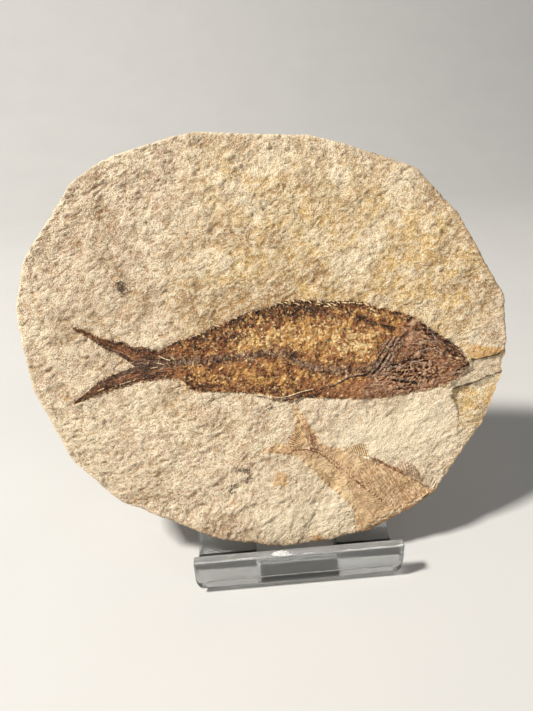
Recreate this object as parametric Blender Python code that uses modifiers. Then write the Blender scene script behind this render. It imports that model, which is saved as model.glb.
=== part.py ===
"""A fossil fish slab on its stand: a stone slab trimmed to a rounded outline, which holds one large and
one small fossil fish, leans back in a clear easel bent from a single acrylic sheet.

Metres, +Z up, +X to the viewer's right, the fish face the viewer at -Y. The origin is in the middle of
the flat strip under the easel's front ledge, on the surface that the easel stands on.
"""

import math

import bmesh
import bpy
import numpy as np
from mathutils import Vector

MM = 0.001
GAP = 0.3 * MM

# Easel: one sheet, bent up into a front lip, a ledge and a backrest, with a tongue bent out as its leg
SHEET = 2.5 * MM
EASEL_WIDTH = 57.0 * MM
LIP_FRONT_Y = -6.0 * MM
LIP_HEIGHT = 11.4 * MM
LIP_BEND = 1.0 * MM
LIP_CORNER = 2.4 * MM
BACKREST_CORNER_Y = 9.5 * MM
BACKREST_BEND = 3.0 * MM
BACKREST_LENGTH = 62.0 * MM
LEAN = math.radians(22.0)
WINDOW_WIDTH = 23.0 * MM
WINDOW_FRONT_Y = 2.5 * MM
SAW_KERF = 0.75 * MM
LEG_ROOT = 46.0 * MM
LEG_STRAIGHT = 1.5 * MM
LEG_BEND = 3.0 * MM
LEG_SPLAY = math.radians(25.0)
EDGE_BREAK = 0.25 * MM
BEND_STEPS = 7

# Slab: its outline across (X) and up the front face, in millimetres from the easel's inner corner
SLAB_THICKNESS = 8.0 * MM
SLAB_OUTLINE_MM = (
    (64.0, 56.0), (64.0, 68.5), (61.0, 74.0), (52.0, 92.0), (41.0, 105.0), (35.0, 108.0),
    (27.5, 110.5), (19.5, 113.5), (11.0, 116.0), (3.0, 116.5), (-20.5, 118.5), (-26.5, 117.5),
    (-44.0, 113.0), (-48.0, 111.0), (-55.0, 106.5), (-69.5, 86.5), (-72.5, 74.0), (-72.5, 69.0),
    (-70.0, 51.0), (-61.0, 30.5), (-50.5, 19.5), (-48.0, 17.5), (-23.0, 5.0), (-14.0, 2.8),
    (-5.0, 1.2), (1.0, 1.2), (10.0, 1.8), (14.0, 2.8), (21.0, 3.5), (34.5, 9.5), (40.5, 13.0),
    (56.0, 32.5), (62.5, 46.5), (62.0, 48.0), (63.5, 51.5),
)
SLAB_CENTRE = (-4.3 * MM, 59.0 * MM)
SIDE_STEP = 5.5 * MM
FRONT_RINGS = 15
BACK_RINGS = 5
EDGE_BEVEL = 0.7 * MM
BACK_BEVEL = 1.0 * MM
CHIP_DEPTH = 0.6 * MM
LUMP_HEIGHT = 0.22 * MM
LUMP_SIZE = 11.0 * MM
LUMP_WAVES = 9
CHIPPED_DEPTHS = (0.35, 0.65)

# Flakes lost from the slab's right edge: outline in millimetres, then the depth of the break
FLAKES = {
    "lens_flake": (
        ((51.3, 53.4), (50.5, 55.2), (54.3, 55.4), (58.0, 54.0), (66.0, 53.6), (66.0, 52.6),
         (62.6, 52.4), (61.4, 51.4), (57.8, 50.8), (55.2, 50.4), (52.9, 50.6)),
        0.5 * MM,
    ),
    "grey_flake": (
        ((45.5, 42.4), (50.5, 46.6), (53.4, 48.6), (54.0, 50.6), (55.2, 50.5), (57.8, 50.9),
         (61.4, 51.5), (62.6, 52.5), (66.0, 52.8), (66.0, 46.8), (59.9, 45.9), (57.6, 45.4),
         (54.9, 44.3), (51.7, 43.4), (49.0, 42.7)),
        0.75 * MM,
    ),
    "yellow_flake": (
        ((47.4, 42.4), (47.0, 40.0), (48.2, 39.0), (48.9, 35.8), (48.4, 31.8), (47.7, 29.3),
         (50.8, 26.8), (54.0, 26.0), (66.0, 40.0), (66.0, 46.9), (62.4, 46.4), (59.9, 46.0),
         (57.6, 45.5), (54.9, 44.4), (51.7, 43.5)),
        1.2 * MM,
    ),
}
CUT_ABOVE = 3.0 * MM

# Large fish, in the outline's millimetres: three lines from the tail's fork to the snout, then the upper
# and the lower tail lobe, each as its outer edge and its edge towards the fork, out to the tip
LARGE_BACK_MM = (
    (-41.8, 61.1), (-38.3, 60.7), (-34.5, 59.4), (-30.8, 61.2), (-24.3, 62.9), (-17.5, 65.5),
    (-8.6, 68.4), (-3.6, 69.2), (0.2, 70.6), (4.7, 70.9), (12.5, 70.1), (22.9, 69.2), (27.3, 67.3),
    (33.0, 65.8), (36.9, 64.1), (41.0, 61.3), (44.9, 58.4), (48.2, 55.9), (51.0, 53.2), (52.6, 49.6),
)
LARGE_SPINE_MM = (
    (-41.8, 55.4), (-33.1, 56.0), (-20.0, 55.6), (-8.1, 56.4), (-3.7, 56.5), (1.4, 55.3), (5.7, 52.4),
    (13.2, 50.5), (21.8, 50.1), (30.0, 50.8), (40.0, 51.2), (52.8, 49.0),
)
LARGE_BELLY_MM = (
    (-41.8, 50.5), (-39.9, 50.7), (-34.9, 51.2), (-31.6, 50.9), (-26.8, 47.8), (-20.8, 46.5),
    (-8.9, 45.3), (-4.8, 43.3), (-0.6, 42.3), (2.2, 42.2), (5.1, 43.0), (19.3, 41.6), (26.4, 41.4),
    (38.0, 42.5), (43.8, 43.4), (48.3, 45.1), (51.0, 47.4), (52.6, 48.5),
)
LARGE_LOBES_MM = (
    (
        ((-41.8, 61.1), (-44.4, 62.6), (-47.1, 63.1), (-50.3, 64.2), (-55.5, 66.9), (-57.9, 67.5)),
        ((-41.8, 55.4), (-44.0, 57.4), (-45.9, 58.6), (-49.5, 60.8), (-53.1, 63.7), (-57.3, 66.6)),
    ),
    (
        ((-41.8, 50.5), (-44.1, 50.0), (-47.5, 49.3), (-51.7, 48.3), (-55.6, 47.0), (-59.0, 45.8)),
        ((-41.8, 55.4), (-43.7, 55.0), (-48.5, 53.5), (-52.2, 51.9), (-54.8, 49.8), (-59.2, 46.6)),
    ),
)
LARGE_STATIONS = 46
LARGE_LOBE_STATIONS = 9

# Small fish: the same lines, from its tail's fork to where the slab's edge cuts the body off
SMALL_BACK_MM = (
    (6.9, 31.9), (8.5, 30.0), (11.3, 28.8), (15.5, 27.5), (22.5, 24.3), (26.7, 22.2), (31.5, 19.8),
    (36.0, 17.1), (38.6, 14.9),
)
SMALL_SPINE_MM = ((5.3, 28.6), (8.6, 27.2), (12.4, 23.7), (19.2, 17.4), (23.6, 13.5), (28.2, 9.2))
SMALL_BELLY_MM = (
    (1.9, 26.6), (3.9, 24.5), (6.6, 21.8), (9.2, 18.2), (12.5, 15.3), (15.2, 12.2), (16.8, 10.0),
    (17.2, 7.0), (17.4, 5.2),
)
SMALL_LOBES_MM = (
    (
        ((6.9, 31.9), (5.7, 34.3), (4.7, 36.6), (3.7, 38.4), (2.7, 40.8), (1.9, 42.2)),
        ((5.3, 28.6), (3.8, 32.1), (2.9, 34.8), (2.4, 37.1), (1.7, 39.1), (1.2, 41.8)),
    ),
    (
        ((1.9, 26.6), (0.6, 27.0), (-1.6, 27.7), (-3.4, 28.0), (-5.6, 28.2), (-7.5, 28.3)),
        ((5.3, 28.6), (3.6, 28.8), (1.4, 29.5), (-1.4, 30.3), (-5.0, 30.0), (-7.5, 28.9)),
    ),
)
SMALL_STATIONS = 24
SMALL_LOBE_STATIONS = 8

# A fish stands a little proud of the stone and is bedded in it
ACROSS = (0.0, 0.08, 0.3, 0.55, 0.8, 1.0)
FISH_BED = 0.5 * MM
LARGE_EDGE = 0.12 * MM
LARGE_BODY = 0.42 * MM
LARGE_RIDGE = 0.28 * MM
LARGE_HEAD = 0.45 * MM
HEAD_START = 0.76
HEAD_RISE = 0.05
CRUMPLE_SIZE = 1.0 * MM
SMALL_EDGE = 0.08 * MM
SMALL_BODY = 0.14 * MM
SMALL_RIDGE = 0.14 * MM

STONE_COLOUR = (0.610, 0.456, 0.262, 1.0)
LARGE_FISH_COLOUR = (0.156, 0.080, 0.038, 1.0)
SMALL_FISH_COLOUR = (0.485, 0.262, 0.102, 1.0)
ACRYLIC_COLOUR = (0.90, 0.92, 0.93, 1.0)


def clear_scene():
    for obj in list(bpy.data.objects):
        bpy.data.objects.remove(obj)


def new_collection(name):
    collection = bpy.data.collections.new(name)
    bpy.context.scene.collection.children.link(collection)
    return collection


def material(name, colour, roughness, transmission=0.0):
    made = bpy.data.materials.new(name)
    made.use_nodes = True
    shader = made.node_tree.nodes["Principled BSDF"]
    shader.inputs["Base Color"].default_value = colour
    shader.inputs["Roughness"].default_value = roughness
    shader.inputs["Metallic"].default_value = 0.0
    shader.inputs["Transmission Weight"].default_value = transmission
    made.diffuse_color = colour
    return made


def mesh_object(name, bm, collection, parent=None):
    """The finished bmesh as an object, with its faces turned outwards."""
    bmesh.ops.recalc_face_normals(bm, faces=bm.faces)
    mesh = bpy.data.meshes.new(name)
    bm.to_mesh(mesh)
    bm.free()
    obj = bpy.data.objects.new(name, mesh)
    obj.parent = parent
    collection.objects.link(obj)
    return obj


def arc(centre_y, centre_z, radius, start, end):
    """Points (y, z) along an arc, its first point left out."""
    turns = (start + (end - start) * i / BEND_STEPS for i in range(1, BEND_STEPS + 1))
    return [(centre_y + radius * math.cos(a), centre_z + radius * math.sin(a)) for a in turns]


def sheet_rows():
    """The middle of the sheet from the lip's top to the backrest's top, and three rows' places in it."""
    half = SHEET / 2
    lip_radius = LIP_BEND + half
    rest_radius = BACKREST_BEND + half
    lip_y = LIP_FRONT_Y + half
    turn = math.pi / 2 - LEAN
    bend_y = BACKREST_CORNER_Y - BACKREST_BEND * math.tan(turn / 2)
    rows = [(lip_y, LIP_HEIGHT), (lip_y, half + lip_radius)]
    rows += arc(lip_y + lip_radius, half + lip_radius, lip_radius, math.pi, 1.5 * math.pi)
    ledge = len(rows) - 1
    rows.append((WINDOW_FRONT_Y, half))
    window = len(rows) - 1
    rows.append((bend_y, half))
    rows += arc(bend_y, half + rest_radius, rest_radius, 1.5 * math.pi, 1.5 * math.pi + turn)
    foot_y, foot_z = rows[-1]
    up = (math.sin(LEAN), math.cos(LEAN))
    rows.append((foot_y + LEG_ROOT * up[0], foot_z + LEG_ROOT * up[1]))
    root = len(rows) - 1
    rows.append((foot_y + BACKREST_LENGTH * up[0], foot_z + BACKREST_LENGTH * up[1]))
    return rows, ledge, window, root


def leg_rows(root):
    """The middle of the leg, from under its root on the backrest down to the floor."""
    radius = LEG_BEND + SHEET / 2
    down = (-math.sin(LEAN), -math.cos(LEAN))
    start = (root[0] + LEG_STRAIGHT * down[0], root[1] + LEG_STRAIGHT * down[1])
    centre = (start[0] + radius * math.cos(LEAN), start[1] - radius * math.sin(LEAN))
    first = math.pi - LEAN
    rows = [start] + arc(centre[0], centre[1], radius, first, first + LEAN + LEG_SPLAY)
    end_z = SHEET / 2 * math.sin(LEG_SPLAY) - EDGE_BREAK * math.sin(LEG_SPLAY)
    straight = (rows[-1][1] - end_z) / math.cos(LEG_SPLAY)
    rows.append((rows[-1][0] + straight * math.sin(LEG_SPLAY), end_z))
    return rows


def build_stand(collection):
    rows, ledge, window, root = sheet_rows()
    half_width, half_window = EASEL_WIDTH / 2, WINDOW_WIDTH / 2
    half_leg = half_window - SAW_KERF
    columns = (-half_width, -half_window, -half_leg, half_leg, half_window, half_width)
    bm = bmesh.new()
    grid = []
    for i, (y, z) in enumerate(rows):
        # The lip's lower corners are rounded off where the sheet turns under
        turned = max(0.0, 1.0 - abs(i - ledge + 1) / (BEND_STEPS - 1)) if i <= window else 0.0
        inset = LIP_CORNER * turned**2
        row = []
        for x in columns:
            outer = abs(x) == half_width
            row.append(bm.verts.new((x - math.copysign(inset, x) if outer else x, y, z)))
        grid.append(row)
    for i in range(len(rows) - 1):
        for j in range(len(columns) - 1):
            if window <= i < root and 0 < j < len(columns) - 2:
                continue
            bm.faces.new((grid[i][j], grid[i][j + 1], grid[i + 1][j + 1], grid[i + 1][j]))
    left, right = grid[root][2], grid[root][3]
    for y, z in leg_rows(rows[root]):
        next_left = bm.verts.new((-half_leg, y, z))
        next_right = bm.verts.new((half_leg, y, z))
        bm.faces.new((left, next_left, next_right, right))
        left, right = next_left, next_right
    stand = mesh_object("stand", bm, collection)
    thicken = stand.modifiers.new("Sheet", "SOLIDIFY")
    thicken.thickness = SHEET
    thicken.offset = 0.0
    thicken.use_even_offset = True
    soften = stand.modifiers.new("Edges", "BEVEL")
    soften.width = EDGE_BREAK
    soften.segments = 1
    soften.limit_method = "ANGLE"
    soften.angle_limit = math.radians(50.0)
    return stand


def outline_points(outline_mm, step):
    """The outline in metres, with points added so that no side is longer than the step."""
    corners = np.array(outline_mm) * MM
    points = []
    for here, after in zip(corners, np.roll(corners, -1, axis=0)):
        pieces = max(1, math.ceil(np.linalg.norm(after - here) / step))
        points += [here + (after - here) * i / pieces for i in range(pieces)]
    return np.array(points)


def lump_waves():
    """The directions, lengths and starts of the waves that add up to the stone's low lumps."""
    random = np.random.default_rng(7)
    angle = random.uniform(0, math.tau, LUMP_WAVES)
    length = LUMP_SIZE * random.uniform(0.7, 1.5, LUMP_WAVES)
    pace = math.tau / length
    return np.cos(angle) * pace, np.sin(angle) * pace, random.uniform(0, math.tau, LUMP_WAVES)


def lumps(across, up, waves):
    wave_x, wave_z, start = waves
    total = float(np.sin(wave_x * across + wave_z * up + start).sum())
    return LUMP_HEIGHT * total / math.sqrt(LUMP_WAVES)


def build_slab(collection, frame):
    """Rings of points run from the front's middle out over the broken edge to the back's middle."""
    outline = outline_points(SLAB_OUTLINE_MM, SIDE_STEP)
    centre = np.array(SLAB_CENTRE)
    waves = lump_waves()
    chips = np.random.default_rng(11).uniform(0.0, CHIP_DEPTH, (len(CHIPPED_DEPTHS) + 1, len(outline)))
    radius = np.linalg.norm(outline - centre, axis=1)
    bm = bmesh.new()
    rings = []

    def ring(inset, depth, lumpy):
        """One ring, this far inside the outline at each point and this deep behind the front."""
        points = centre + (outline - centre) * (1 - inset / radius)[:, None]
        rings.append([
            bm.verts.new((x, depth - lumpy * lumps(x, z, waves), z)) for x, z in points
        ])

    for i in range(1, FRONT_RINGS + 1):
        ring((radius - EDGE_BEVEL) * (1 - i / FRONT_RINGS) + EDGE_BEVEL, 0.0, 1.0)
    ring(np.zeros(len(outline)), EDGE_BEVEL, 0.0)
    for chip, share in zip(chips, CHIPPED_DEPTHS):
        ring(chip, SLAB_THICKNESS * share, 0.0)
    ring(chips[-1], SLAB_THICKNESS - BACK_BEVEL, 0.0)
    for i in range(BACK_RINGS):
        ring(BACK_BEVEL + (radius - BACK_BEVEL) * i / BACK_RINGS, SLAB_THICKNESS, 0.0)
    for near, far in zip(rings, rings[1:]):
        for j in range(len(outline)):
            after = (j + 1) % len(outline)
            bm.faces.new((near[j], near[after], far[after], far[j]))
    front = bm.verts.new((centre[0], -lumps(*centre, waves), centre[1]))
    back = bm.verts.new((centre[0], SLAB_THICKNESS, centre[1]))
    for j in range(len(outline)):
        after = (j + 1) % len(outline)
        bm.faces.new((front, rings[0][after], rings[0][j]))
        bm.faces.new((back, rings[-1][j], rings[-1][after]))
    return mesh_object("slab", bm, collection, frame)


def along(points_mm, parts):
    """Points at even steps of length along a line given in millimetres."""
    points = np.array(points_mm) * MM
    length = np.concatenate([[0.0], np.cumsum(np.linalg.norm(np.diff(points, axis=0), axis=1))])
    at = np.linspace(0.0, length[-1], parts)
    return np.column_stack([np.interp(at, length, points[:, k]) for k in (0, 1)])


def fish_sections(back_mm, spine_mm, belly_mm, lobes_mm, stations, lobe_stations):
    """Cross sections of a fish, from one edge to the other, as (points, across from -1 to 1, along).

    The body's run from the tail's fork to the head, each through its spine, and then each tail lobe's.
    """
    back, spine, belly = (along(line, stations) for line in (back_mm, spine_mm, belly_mm))
    body = []
    for i in range(stations):
        above = [(spine[i] + (back[i] - spine[i]) * a, a) for a in ACROSS]
        below = [(spine[i] + (belly[i] - spine[i]) * a, -a) for a in reversed(ACROSS[1:])]
        body.append((below + above, i / (stations - 1)))
    parts = [body]
    for side, (edge_mm, fork_mm) in zip((1, -1), lobes_mm):
        edge, fork = along(edge_mm, lobe_stations), along(fork_mm, lobe_stations)
        lobe = []
        for i in range(lobe_stations):
            points = [(fork[i] + (edge[i] - fork[i]) * a, abs(2 * a - 1)) for a in ACROSS]
            lobe.append((points[::side], -i / (lobe_stations - 1)))
        parts.append(lobe)
    return parts


def fish_mesh(parts, front_of, back_depth, spread=0.0):
    """A closed mesh over the sections: front_of gives the front's height, the back is flat."""
    bm = bmesh.new()
    shared = {}

    def pair(point, across, t, side):
        """The front and back vertex at a point, made once where two parts meet."""
        key = (round(point[0] / MM, 3), round(point[1] / MM, 3))
        if key not in shared:
            x, z = point + side
            height = front_of(point, across, t)
            shared[key] = (bm.verts.new((x, -height, z)), bm.verts.new((x, back_depth, z)))
        return shared[key]

    for sections in parts:
        grid = []
        for points, t in sections:
            run = points[-1][0] - points[0][0]
            run = run / max(np.linalg.norm(run), MM / 100)
            row = []
            for k, (point, across) in enumerate(points):
                side = spread * run * ((k == len(points) - 1) - (k == 0))
                row.append(pair(point, across, t, side))
            grid.append(row)
        for near, far in zip(grid, grid[1:]):
            for j in range(len(near) - 1):
                for layer in (0, 1):
                    corners = (near[j][layer], near[j + 1][layer], far[j + 1][layer], far[j][layer])
                    bm.faces.new(corners)
    backs = dict(shared.values())
    for edge in [edge for edge in bm.edges if edge.is_boundary and edge.verts[0] in backs]:
        a, b = edge.verts
        bm.faces.new((a, b, backs[b], backs[a]))
    return bm


def large_front(point, across, t):
    """Height of the large fish's front: thin at its outline, with a spine ridge and a crumpled head."""
    inside = 1.0 - abs(across) ** 3
    height = LARGE_EDGE + LARGE_BODY * inside
    if 0 < t < HEAD_START:
        height += LARGE_RIDGE * max(0.0, 1 - abs(across) / ACROSS[1])
    head = min(1.0, max(0.0, (t - HEAD_START) / HEAD_RISE))
    x, z = point / CRUMPLE_SIZE
    crumple = 0.5 + 0.5 * math.sin(x + z / 3) * math.sin(z - x / 3)
    return height + head * LARGE_HEAD * inside * crumple


def small_front(point, across, t):
    """Height of the small fish's front: a thin film with a fine spine ridge."""
    inside = 1.0 - abs(across) ** 3
    ridge = max(0.0, 1 - abs(across) / ACROSS[1]) if t > 0 else 0.0
    return SMALL_EDGE + SMALL_BODY * inside + SMALL_RIDGE * ridge


def cut(slab, cutter):
    cutter.hide_render = True
    cutter.display_type = "WIRE"
    boolean = slab.modifiers.new(cutter.name, "BOOLEAN")
    boolean.operation = "DIFFERENCE"
    boolean.solver = "EXACT"
    boolean.object = cutter


def flake_cutter(name, outline_mm, depth, collection, frame):
    """A prism over a lost flake, from above the front down to the break."""
    bm = bmesh.new()
    top = [bm.verts.new((x * MM, -CUT_ABOVE, z * MM)) for x, z in outline_mm]
    bottom = [bm.verts.new((x * MM, depth, z * MM)) for x, z in outline_mm]
    bm.faces.new(top)
    bm.faces.new(bottom[::-1])
    for j in range(len(top)):
        after = (j + 1) % len(top)
        bm.faces.new((top[j], bottom[j], bottom[after], top[after]))
    return mesh_object(name, bm, collection, frame)


def build_fish(name, parts, front_of, slab, collection, cutters, frame):
    """The fish, and the bed cut for it in the slab, which clears it all round."""
    fish = mesh_object(name, fish_mesh(parts, front_of, FISH_BED), collection, frame)
    bed = fish_mesh(parts, lambda point, across, t: CUT_ABOVE, FISH_BED + GAP, GAP)
    cut(slab, mesh_object(name + "_bed", bed, cutters, frame))
    return fish


def main():
    clear_scene()
    collection = new_collection("fossil_fish_slab")
    cutters = new_collection("cutters")
    easel = bpy.data.objects.new("easel", None)
    collection.objects.link(easel)
    stand = build_stand(collection)
    stand.parent = easel

    # The slab's own frame: Y into the stone, Z up its front face, which leans back with the easel
    outward = Vector((0.0, -math.cos(LEAN), math.sin(LEAN)))
    lean = bpy.data.objects.new("slab_frame", None)
    lean.location = Vector((0.0, BACKREST_CORNER_Y, SHEET)) + outward * (GAP + SLAB_THICKNESS)
    lean.rotation_euler = (-LEAN, 0.0, 0.0)
    lean.parent = easel
    collection.objects.link(lean)
    slab = build_slab(collection, lean)
    for name, (outline_mm, depth) in FLAKES.items():
        cut(slab, flake_cutter(name, outline_mm, depth, cutters, lean))
    large = fish_sections(
        LARGE_BACK_MM, LARGE_SPINE_MM, LARGE_BELLY_MM, LARGE_LOBES_MM, LARGE_STATIONS, LARGE_LOBE_STATIONS
    )
    small = fish_sections(
        SMALL_BACK_MM, SMALL_SPINE_MM, SMALL_BELLY_MM, SMALL_LOBES_MM, SMALL_STATIONS, SMALL_LOBE_STATIONS
    )
    large_fish = build_fish("large_fish", large, large_front, slab, collection, cutters, lean)
    small_fish = build_fish("small_fish", small, small_front, slab, collection, cutters, lean)

    stand.data.materials.append(material("clear_acrylic", ACRYLIC_COLOUR, 0.12, 1.0))
    slab.data.materials.append(material("tan_stone", STONE_COLOUR, 0.85))
    large_fish.data.materials.append(material("dark_fossil", LARGE_FISH_COLOUR, 0.6))
    small_fish.data.materials.append(material("light_fossil", SMALL_FISH_COLOUR, 0.7))


main()
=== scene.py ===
"""Looks of the fossil fish slab: the split stone, its two fossil fish and the clear easel that holds it.

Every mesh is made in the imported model's frame, in metres. Places on the slab's face are given in
millimetres across (u) and up (v) the face, and a height stands proud of it when positive.
"""

import logging
import math
from dataclasses import dataclass, field
from enum import Enum
from typing import Any, Callable, Iterable, Sequence

import bmesh
import bpy
import numpy as np
from mathutils import Matrix, Vector


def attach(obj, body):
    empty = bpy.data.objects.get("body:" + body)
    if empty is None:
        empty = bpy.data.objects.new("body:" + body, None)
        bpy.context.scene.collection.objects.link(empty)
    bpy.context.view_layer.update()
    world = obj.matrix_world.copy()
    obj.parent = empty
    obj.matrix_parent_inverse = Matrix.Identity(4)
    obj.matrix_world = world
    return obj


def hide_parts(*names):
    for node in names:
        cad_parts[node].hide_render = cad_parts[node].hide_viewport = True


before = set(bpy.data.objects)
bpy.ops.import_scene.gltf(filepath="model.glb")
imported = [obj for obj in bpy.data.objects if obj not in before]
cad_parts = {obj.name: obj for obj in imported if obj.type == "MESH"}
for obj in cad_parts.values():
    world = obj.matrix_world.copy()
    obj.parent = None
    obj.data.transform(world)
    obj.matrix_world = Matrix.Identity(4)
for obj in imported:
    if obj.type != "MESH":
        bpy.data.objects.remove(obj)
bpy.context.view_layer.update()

LOG = logging.getLogger("fossil_slab")
MM = 0.001
Array = np.ndarray
Pair = tuple[Array, Array]
Piece = bpy.types.Object
Points = Sequence[tuple[float, float]]
Stroke = tuple[float, float, Points]
Colour = tuple[float, float, float, float]


# Measures on the slab's face


def ease(value: Array, low: float, high: float) -> Array:
    """Eased rise from 0 at low to 1 at high."""
    share = np.clip((value - low) / (high - low), 0.0, 1.0)
    return share * share * (3.0 - 2.0 * share)


def flowing(points: Points, steps: int = 6) -> Array:
    """Smooth line through given points.

    Args:
        points: The points that the line passes.
        steps: Points made between two of them.

    Returns:
        The line's points, as rows of u and v.
    """
    given = np.array(points, float)
    ends = np.vstack([2 * given[0] - given[1], given, 2 * given[-1] - given[-2]])
    made = []
    for before, here, after, beyond in zip(ends, ends[1:], ends[2:], ends[3:]):
        for step in range(steps):
            s = step / steps
            made.append(
                0.5 * (2 * here + (after - before) * s
                       + (2 * before - 5 * here + 4 * after - beyond) * s**2
                       + (3 * here - before - 3 * after + beyond) * s**3)
            )
    return np.vstack([made, given[-1:]])


def lengths_along(line: Array) -> Array:
    """Distance from a line's start to each of its points."""
    return np.concatenate([[0.0], np.cumsum(np.linalg.norm(np.diff(line, axis=0), axis=1))])


def fall(value: Array, low: float, high: float) -> Array:
    """Eased fall from 1 at low to 0 at high."""
    return 1 - ease(value, low, high)


def at_share(line: Array, share: Array) -> Pair:
    """The u and v of places on a line at shares of its length."""
    reach = lengths_along(line)
    at = np.asarray(share) * reach[-1]
    return np.interp(at, reach, line[:, 0]), np.interp(at, reach, line[:, 1])


def line_distance(u: Array, v: Array, line: Array) -> Pair:
    """Distance to a line, with its sign and the share of the line that is nearest.

    Args:
        u: Places across the face.
        v: Places up the face.
        line: Points of the line.

    Returns:
        The distance, positive to the left of the line's run, and the share from 0 to 1.
    """
    reach = lengths_along(line)
    best = np.full(np.shape(u), 1e9)
    sign = np.ones(np.shape(u))
    share = np.zeros(np.shape(u))
    for k, ((ax, ay), (bx, by)) in enumerate(zip(line, line[1:])):
        dx, dy = bx - ax, by - ay
        size = max(dx * dx + dy * dy, 1e-12)
        along = np.clip(((u - ax) * dx + (v - ay) * dy) / size, 0.0, 1.0)
        gap = np.hypot(u - ax - along * dx, v - ay - along * dy)
        side = np.where(dx * (v - ay) - dy * (u - ax) >= 0, 1.0, -1.0)
        nearer = gap < best
        best = np.where(nearer, gap, best)
        sign = np.where(nearer, side, sign)
        share = np.where(nearer, (reach[k] + along * (reach[k + 1] - reach[k])) / reach[-1], share)
    return best * sign, share


def inside_distance(u: Array, v: Array, outline: Array) -> Array:
    """Distance to a closed outline, positive inside it.

    Args:
        u: Places across the face.
        v: Places up the face.
        outline: The outline's corners, not repeated at its end.

    Returns:
        The signed distance.
    """
    best = np.full(np.shape(u), 1e9)
    inside = np.zeros(np.shape(u), bool)
    for (ax, ay), (bx, by) in zip(outline, np.roll(outline, -1, axis=0)):
        dx, dy = bx - ax, by - ay
        size = max(dx * dx + dy * dy, 1e-12)
        along = np.clip(((u - ax) * dx + (v - ay) * dy) / size, 0.0, 1.0)
        best = np.minimum(best, np.hypot(u - ax - along * dx, v - ay - along * dy))
        if ay != by:
            crosses = ((ay > v) != (by > v)) & (u < ax + (v - ay) * dx / dy)
            inside ^= crosses
    return np.where(inside, best, -best)


def bell(value: Array, width: float, centre: float = 0.0) -> Array:
    """Soft hump: 1 at the centre, about a third at the width from it."""
    return np.exp(-(((value - centre) / width) ** 2))


def brush(u: Array, v: Array, line: Points, width: float) -> Array:
    """Soft stroke along a line, or a dab on one point: 1 on it, about a third at the width from it."""
    if len(line) == 1:
        return bell(np.hypot(u - line[0][0], v - line[0][1]), width)
    return bell(line_distance(u, v, np.array(line, float))[0], width)


def strokes(u: Array, v: Array, marks: Iterable[Stroke]) -> Array:
    """Sum of soft strokes, each given by its strength, its width and its line."""
    return sum(strength * brush(u, v, line, width) for strength, width, line in marks)


def grid_faces(index: Array) -> Array:
    """Faces of a grid of point indices."""
    corners = (index[:-1, :-1], index[1:, :-1], index[1:, 1:], index[:-1, 1:])
    return np.stack(corners, axis=-1).reshape(-1, 4)


def square(cells: int, first: int = 0) -> Array:
    """Indices of a square grid's points."""
    return first + np.arange((cells + 1) ** 2).reshape(cells + 1, cells + 1)


class Noise:
    """Gradient noise over the face, from about -1 to 1, the same on each run for one seed."""

    CELLS = 256

    def __init__(self, seed: int) -> None:
        """Draws the lattice's directions."""
        turn = np.random.default_rng(seed).uniform(0.0, math.tau, (self.CELLS, self.CELLS))
        self.east, self.north = np.cos(turn), np.sin(turn)

    def layer(self, x: Array, y: Array) -> Array:
        """One layer of noise, with a lattice cell of 1."""
        column, row = np.floor(x).astype(int), np.floor(y).astype(int)
        fx, fy = x - column, y - row
        sx, sy = (f * f * f * (f * (f * 6 - 15) + 10) for f in (fx, fy))

        def corner(dx: int, dy: int) -> Array:
            """Pull of one corner of the cell."""
            i, j = (column + dx) % self.CELLS, (row + dy) % self.CELLS
            return self.east[i, j] * (fx - dx) + self.north[i, j] * (fy - dy)

        low = corner(0, 0) * (1 - sx) + corner(1, 0) * sx
        high = corner(0, 1) * (1 - sx) + corner(1, 1) * sx
        return 1.5 * (low * (1 - sy) + high * sy)

    def at(self, x: Array, y: Array, size: float, octaves: int = 1, falloff: float = 0.5) -> Array:
        """Noise of one size with finer layers on it.

        Args:
            x: Places across.
            y: Places up.
            size: Cell of the coarsest layer, in the unit of x and y.
            octaves: Layers, each half the size of the one before.
            falloff: Strength of a layer against the one before.

        Returns:
            The summed noise.
        """
        total = np.zeros(np.shape(x))
        gain = 1.0
        for k in range(octaves):
            total += gain * self.layer(x / size * 2**k + 19.7 * k, y / size * 2**k + 7.3 * k)
            gain *= falloff
        return total

    def creased(self, x: Array, y: Array, size: float, octaves: int = 2) -> Array:
        """Noise with sharp crests, from about -1 to 1."""
        total = np.zeros(np.shape(x))
        gain = 1.0
        for k in range(octaves):
            layer = self.layer(x / size * 2**k + 5.1 * k, y / size * 2**k + 11.9 * k)
            total += gain * (1.0 - 3.2 * np.abs(layer))
            gain *= 0.5
        return total


@dataclass(frozen=True)
class SlabPlace:
    """Place of the slab's front face against the easel, in millimetres."""

    lean: float = math.radians(22.0)
    corner_y: float = 9.5
    sheet: float = 2.5
    gap: float = 0.3
    thickness: float = 8.0

    def world(self, u: Array, v: Array, height: Array) -> Array:
        """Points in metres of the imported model's frame.

        Args:
            u: Millimetres across the face.
            v: Millimetres up the face.
            height: Millimetres proud of the face.

        Returns:
            Rows of x, y and z.
        """
        u, v, height = np.broadcast_arrays(u, v, height)
        sine, cosine = math.sin(self.lean), math.cos(self.lean)
        out = height + self.gap + self.thickness
        x = u
        y = self.corner_y + v * sine - out * cosine
        z = self.sheet + v * cosine + out * sine
        return np.stack([x, y, z], axis=-1).reshape(-1, 3) * MM


SLAB = SlabPlace()


# Node trees written as Python expressions


def pigment(red: int, green: int, blue: int) -> Colour:
    """Linear colour of a paint chip named by its 8-bit screen values."""
    linear = (((c / 255 + 0.055) / 1.055) ** 2.4 if c > 10 else c / 255 / 12.92 for c in (red, green, blue))
    return (*linear, 1.0)


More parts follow.
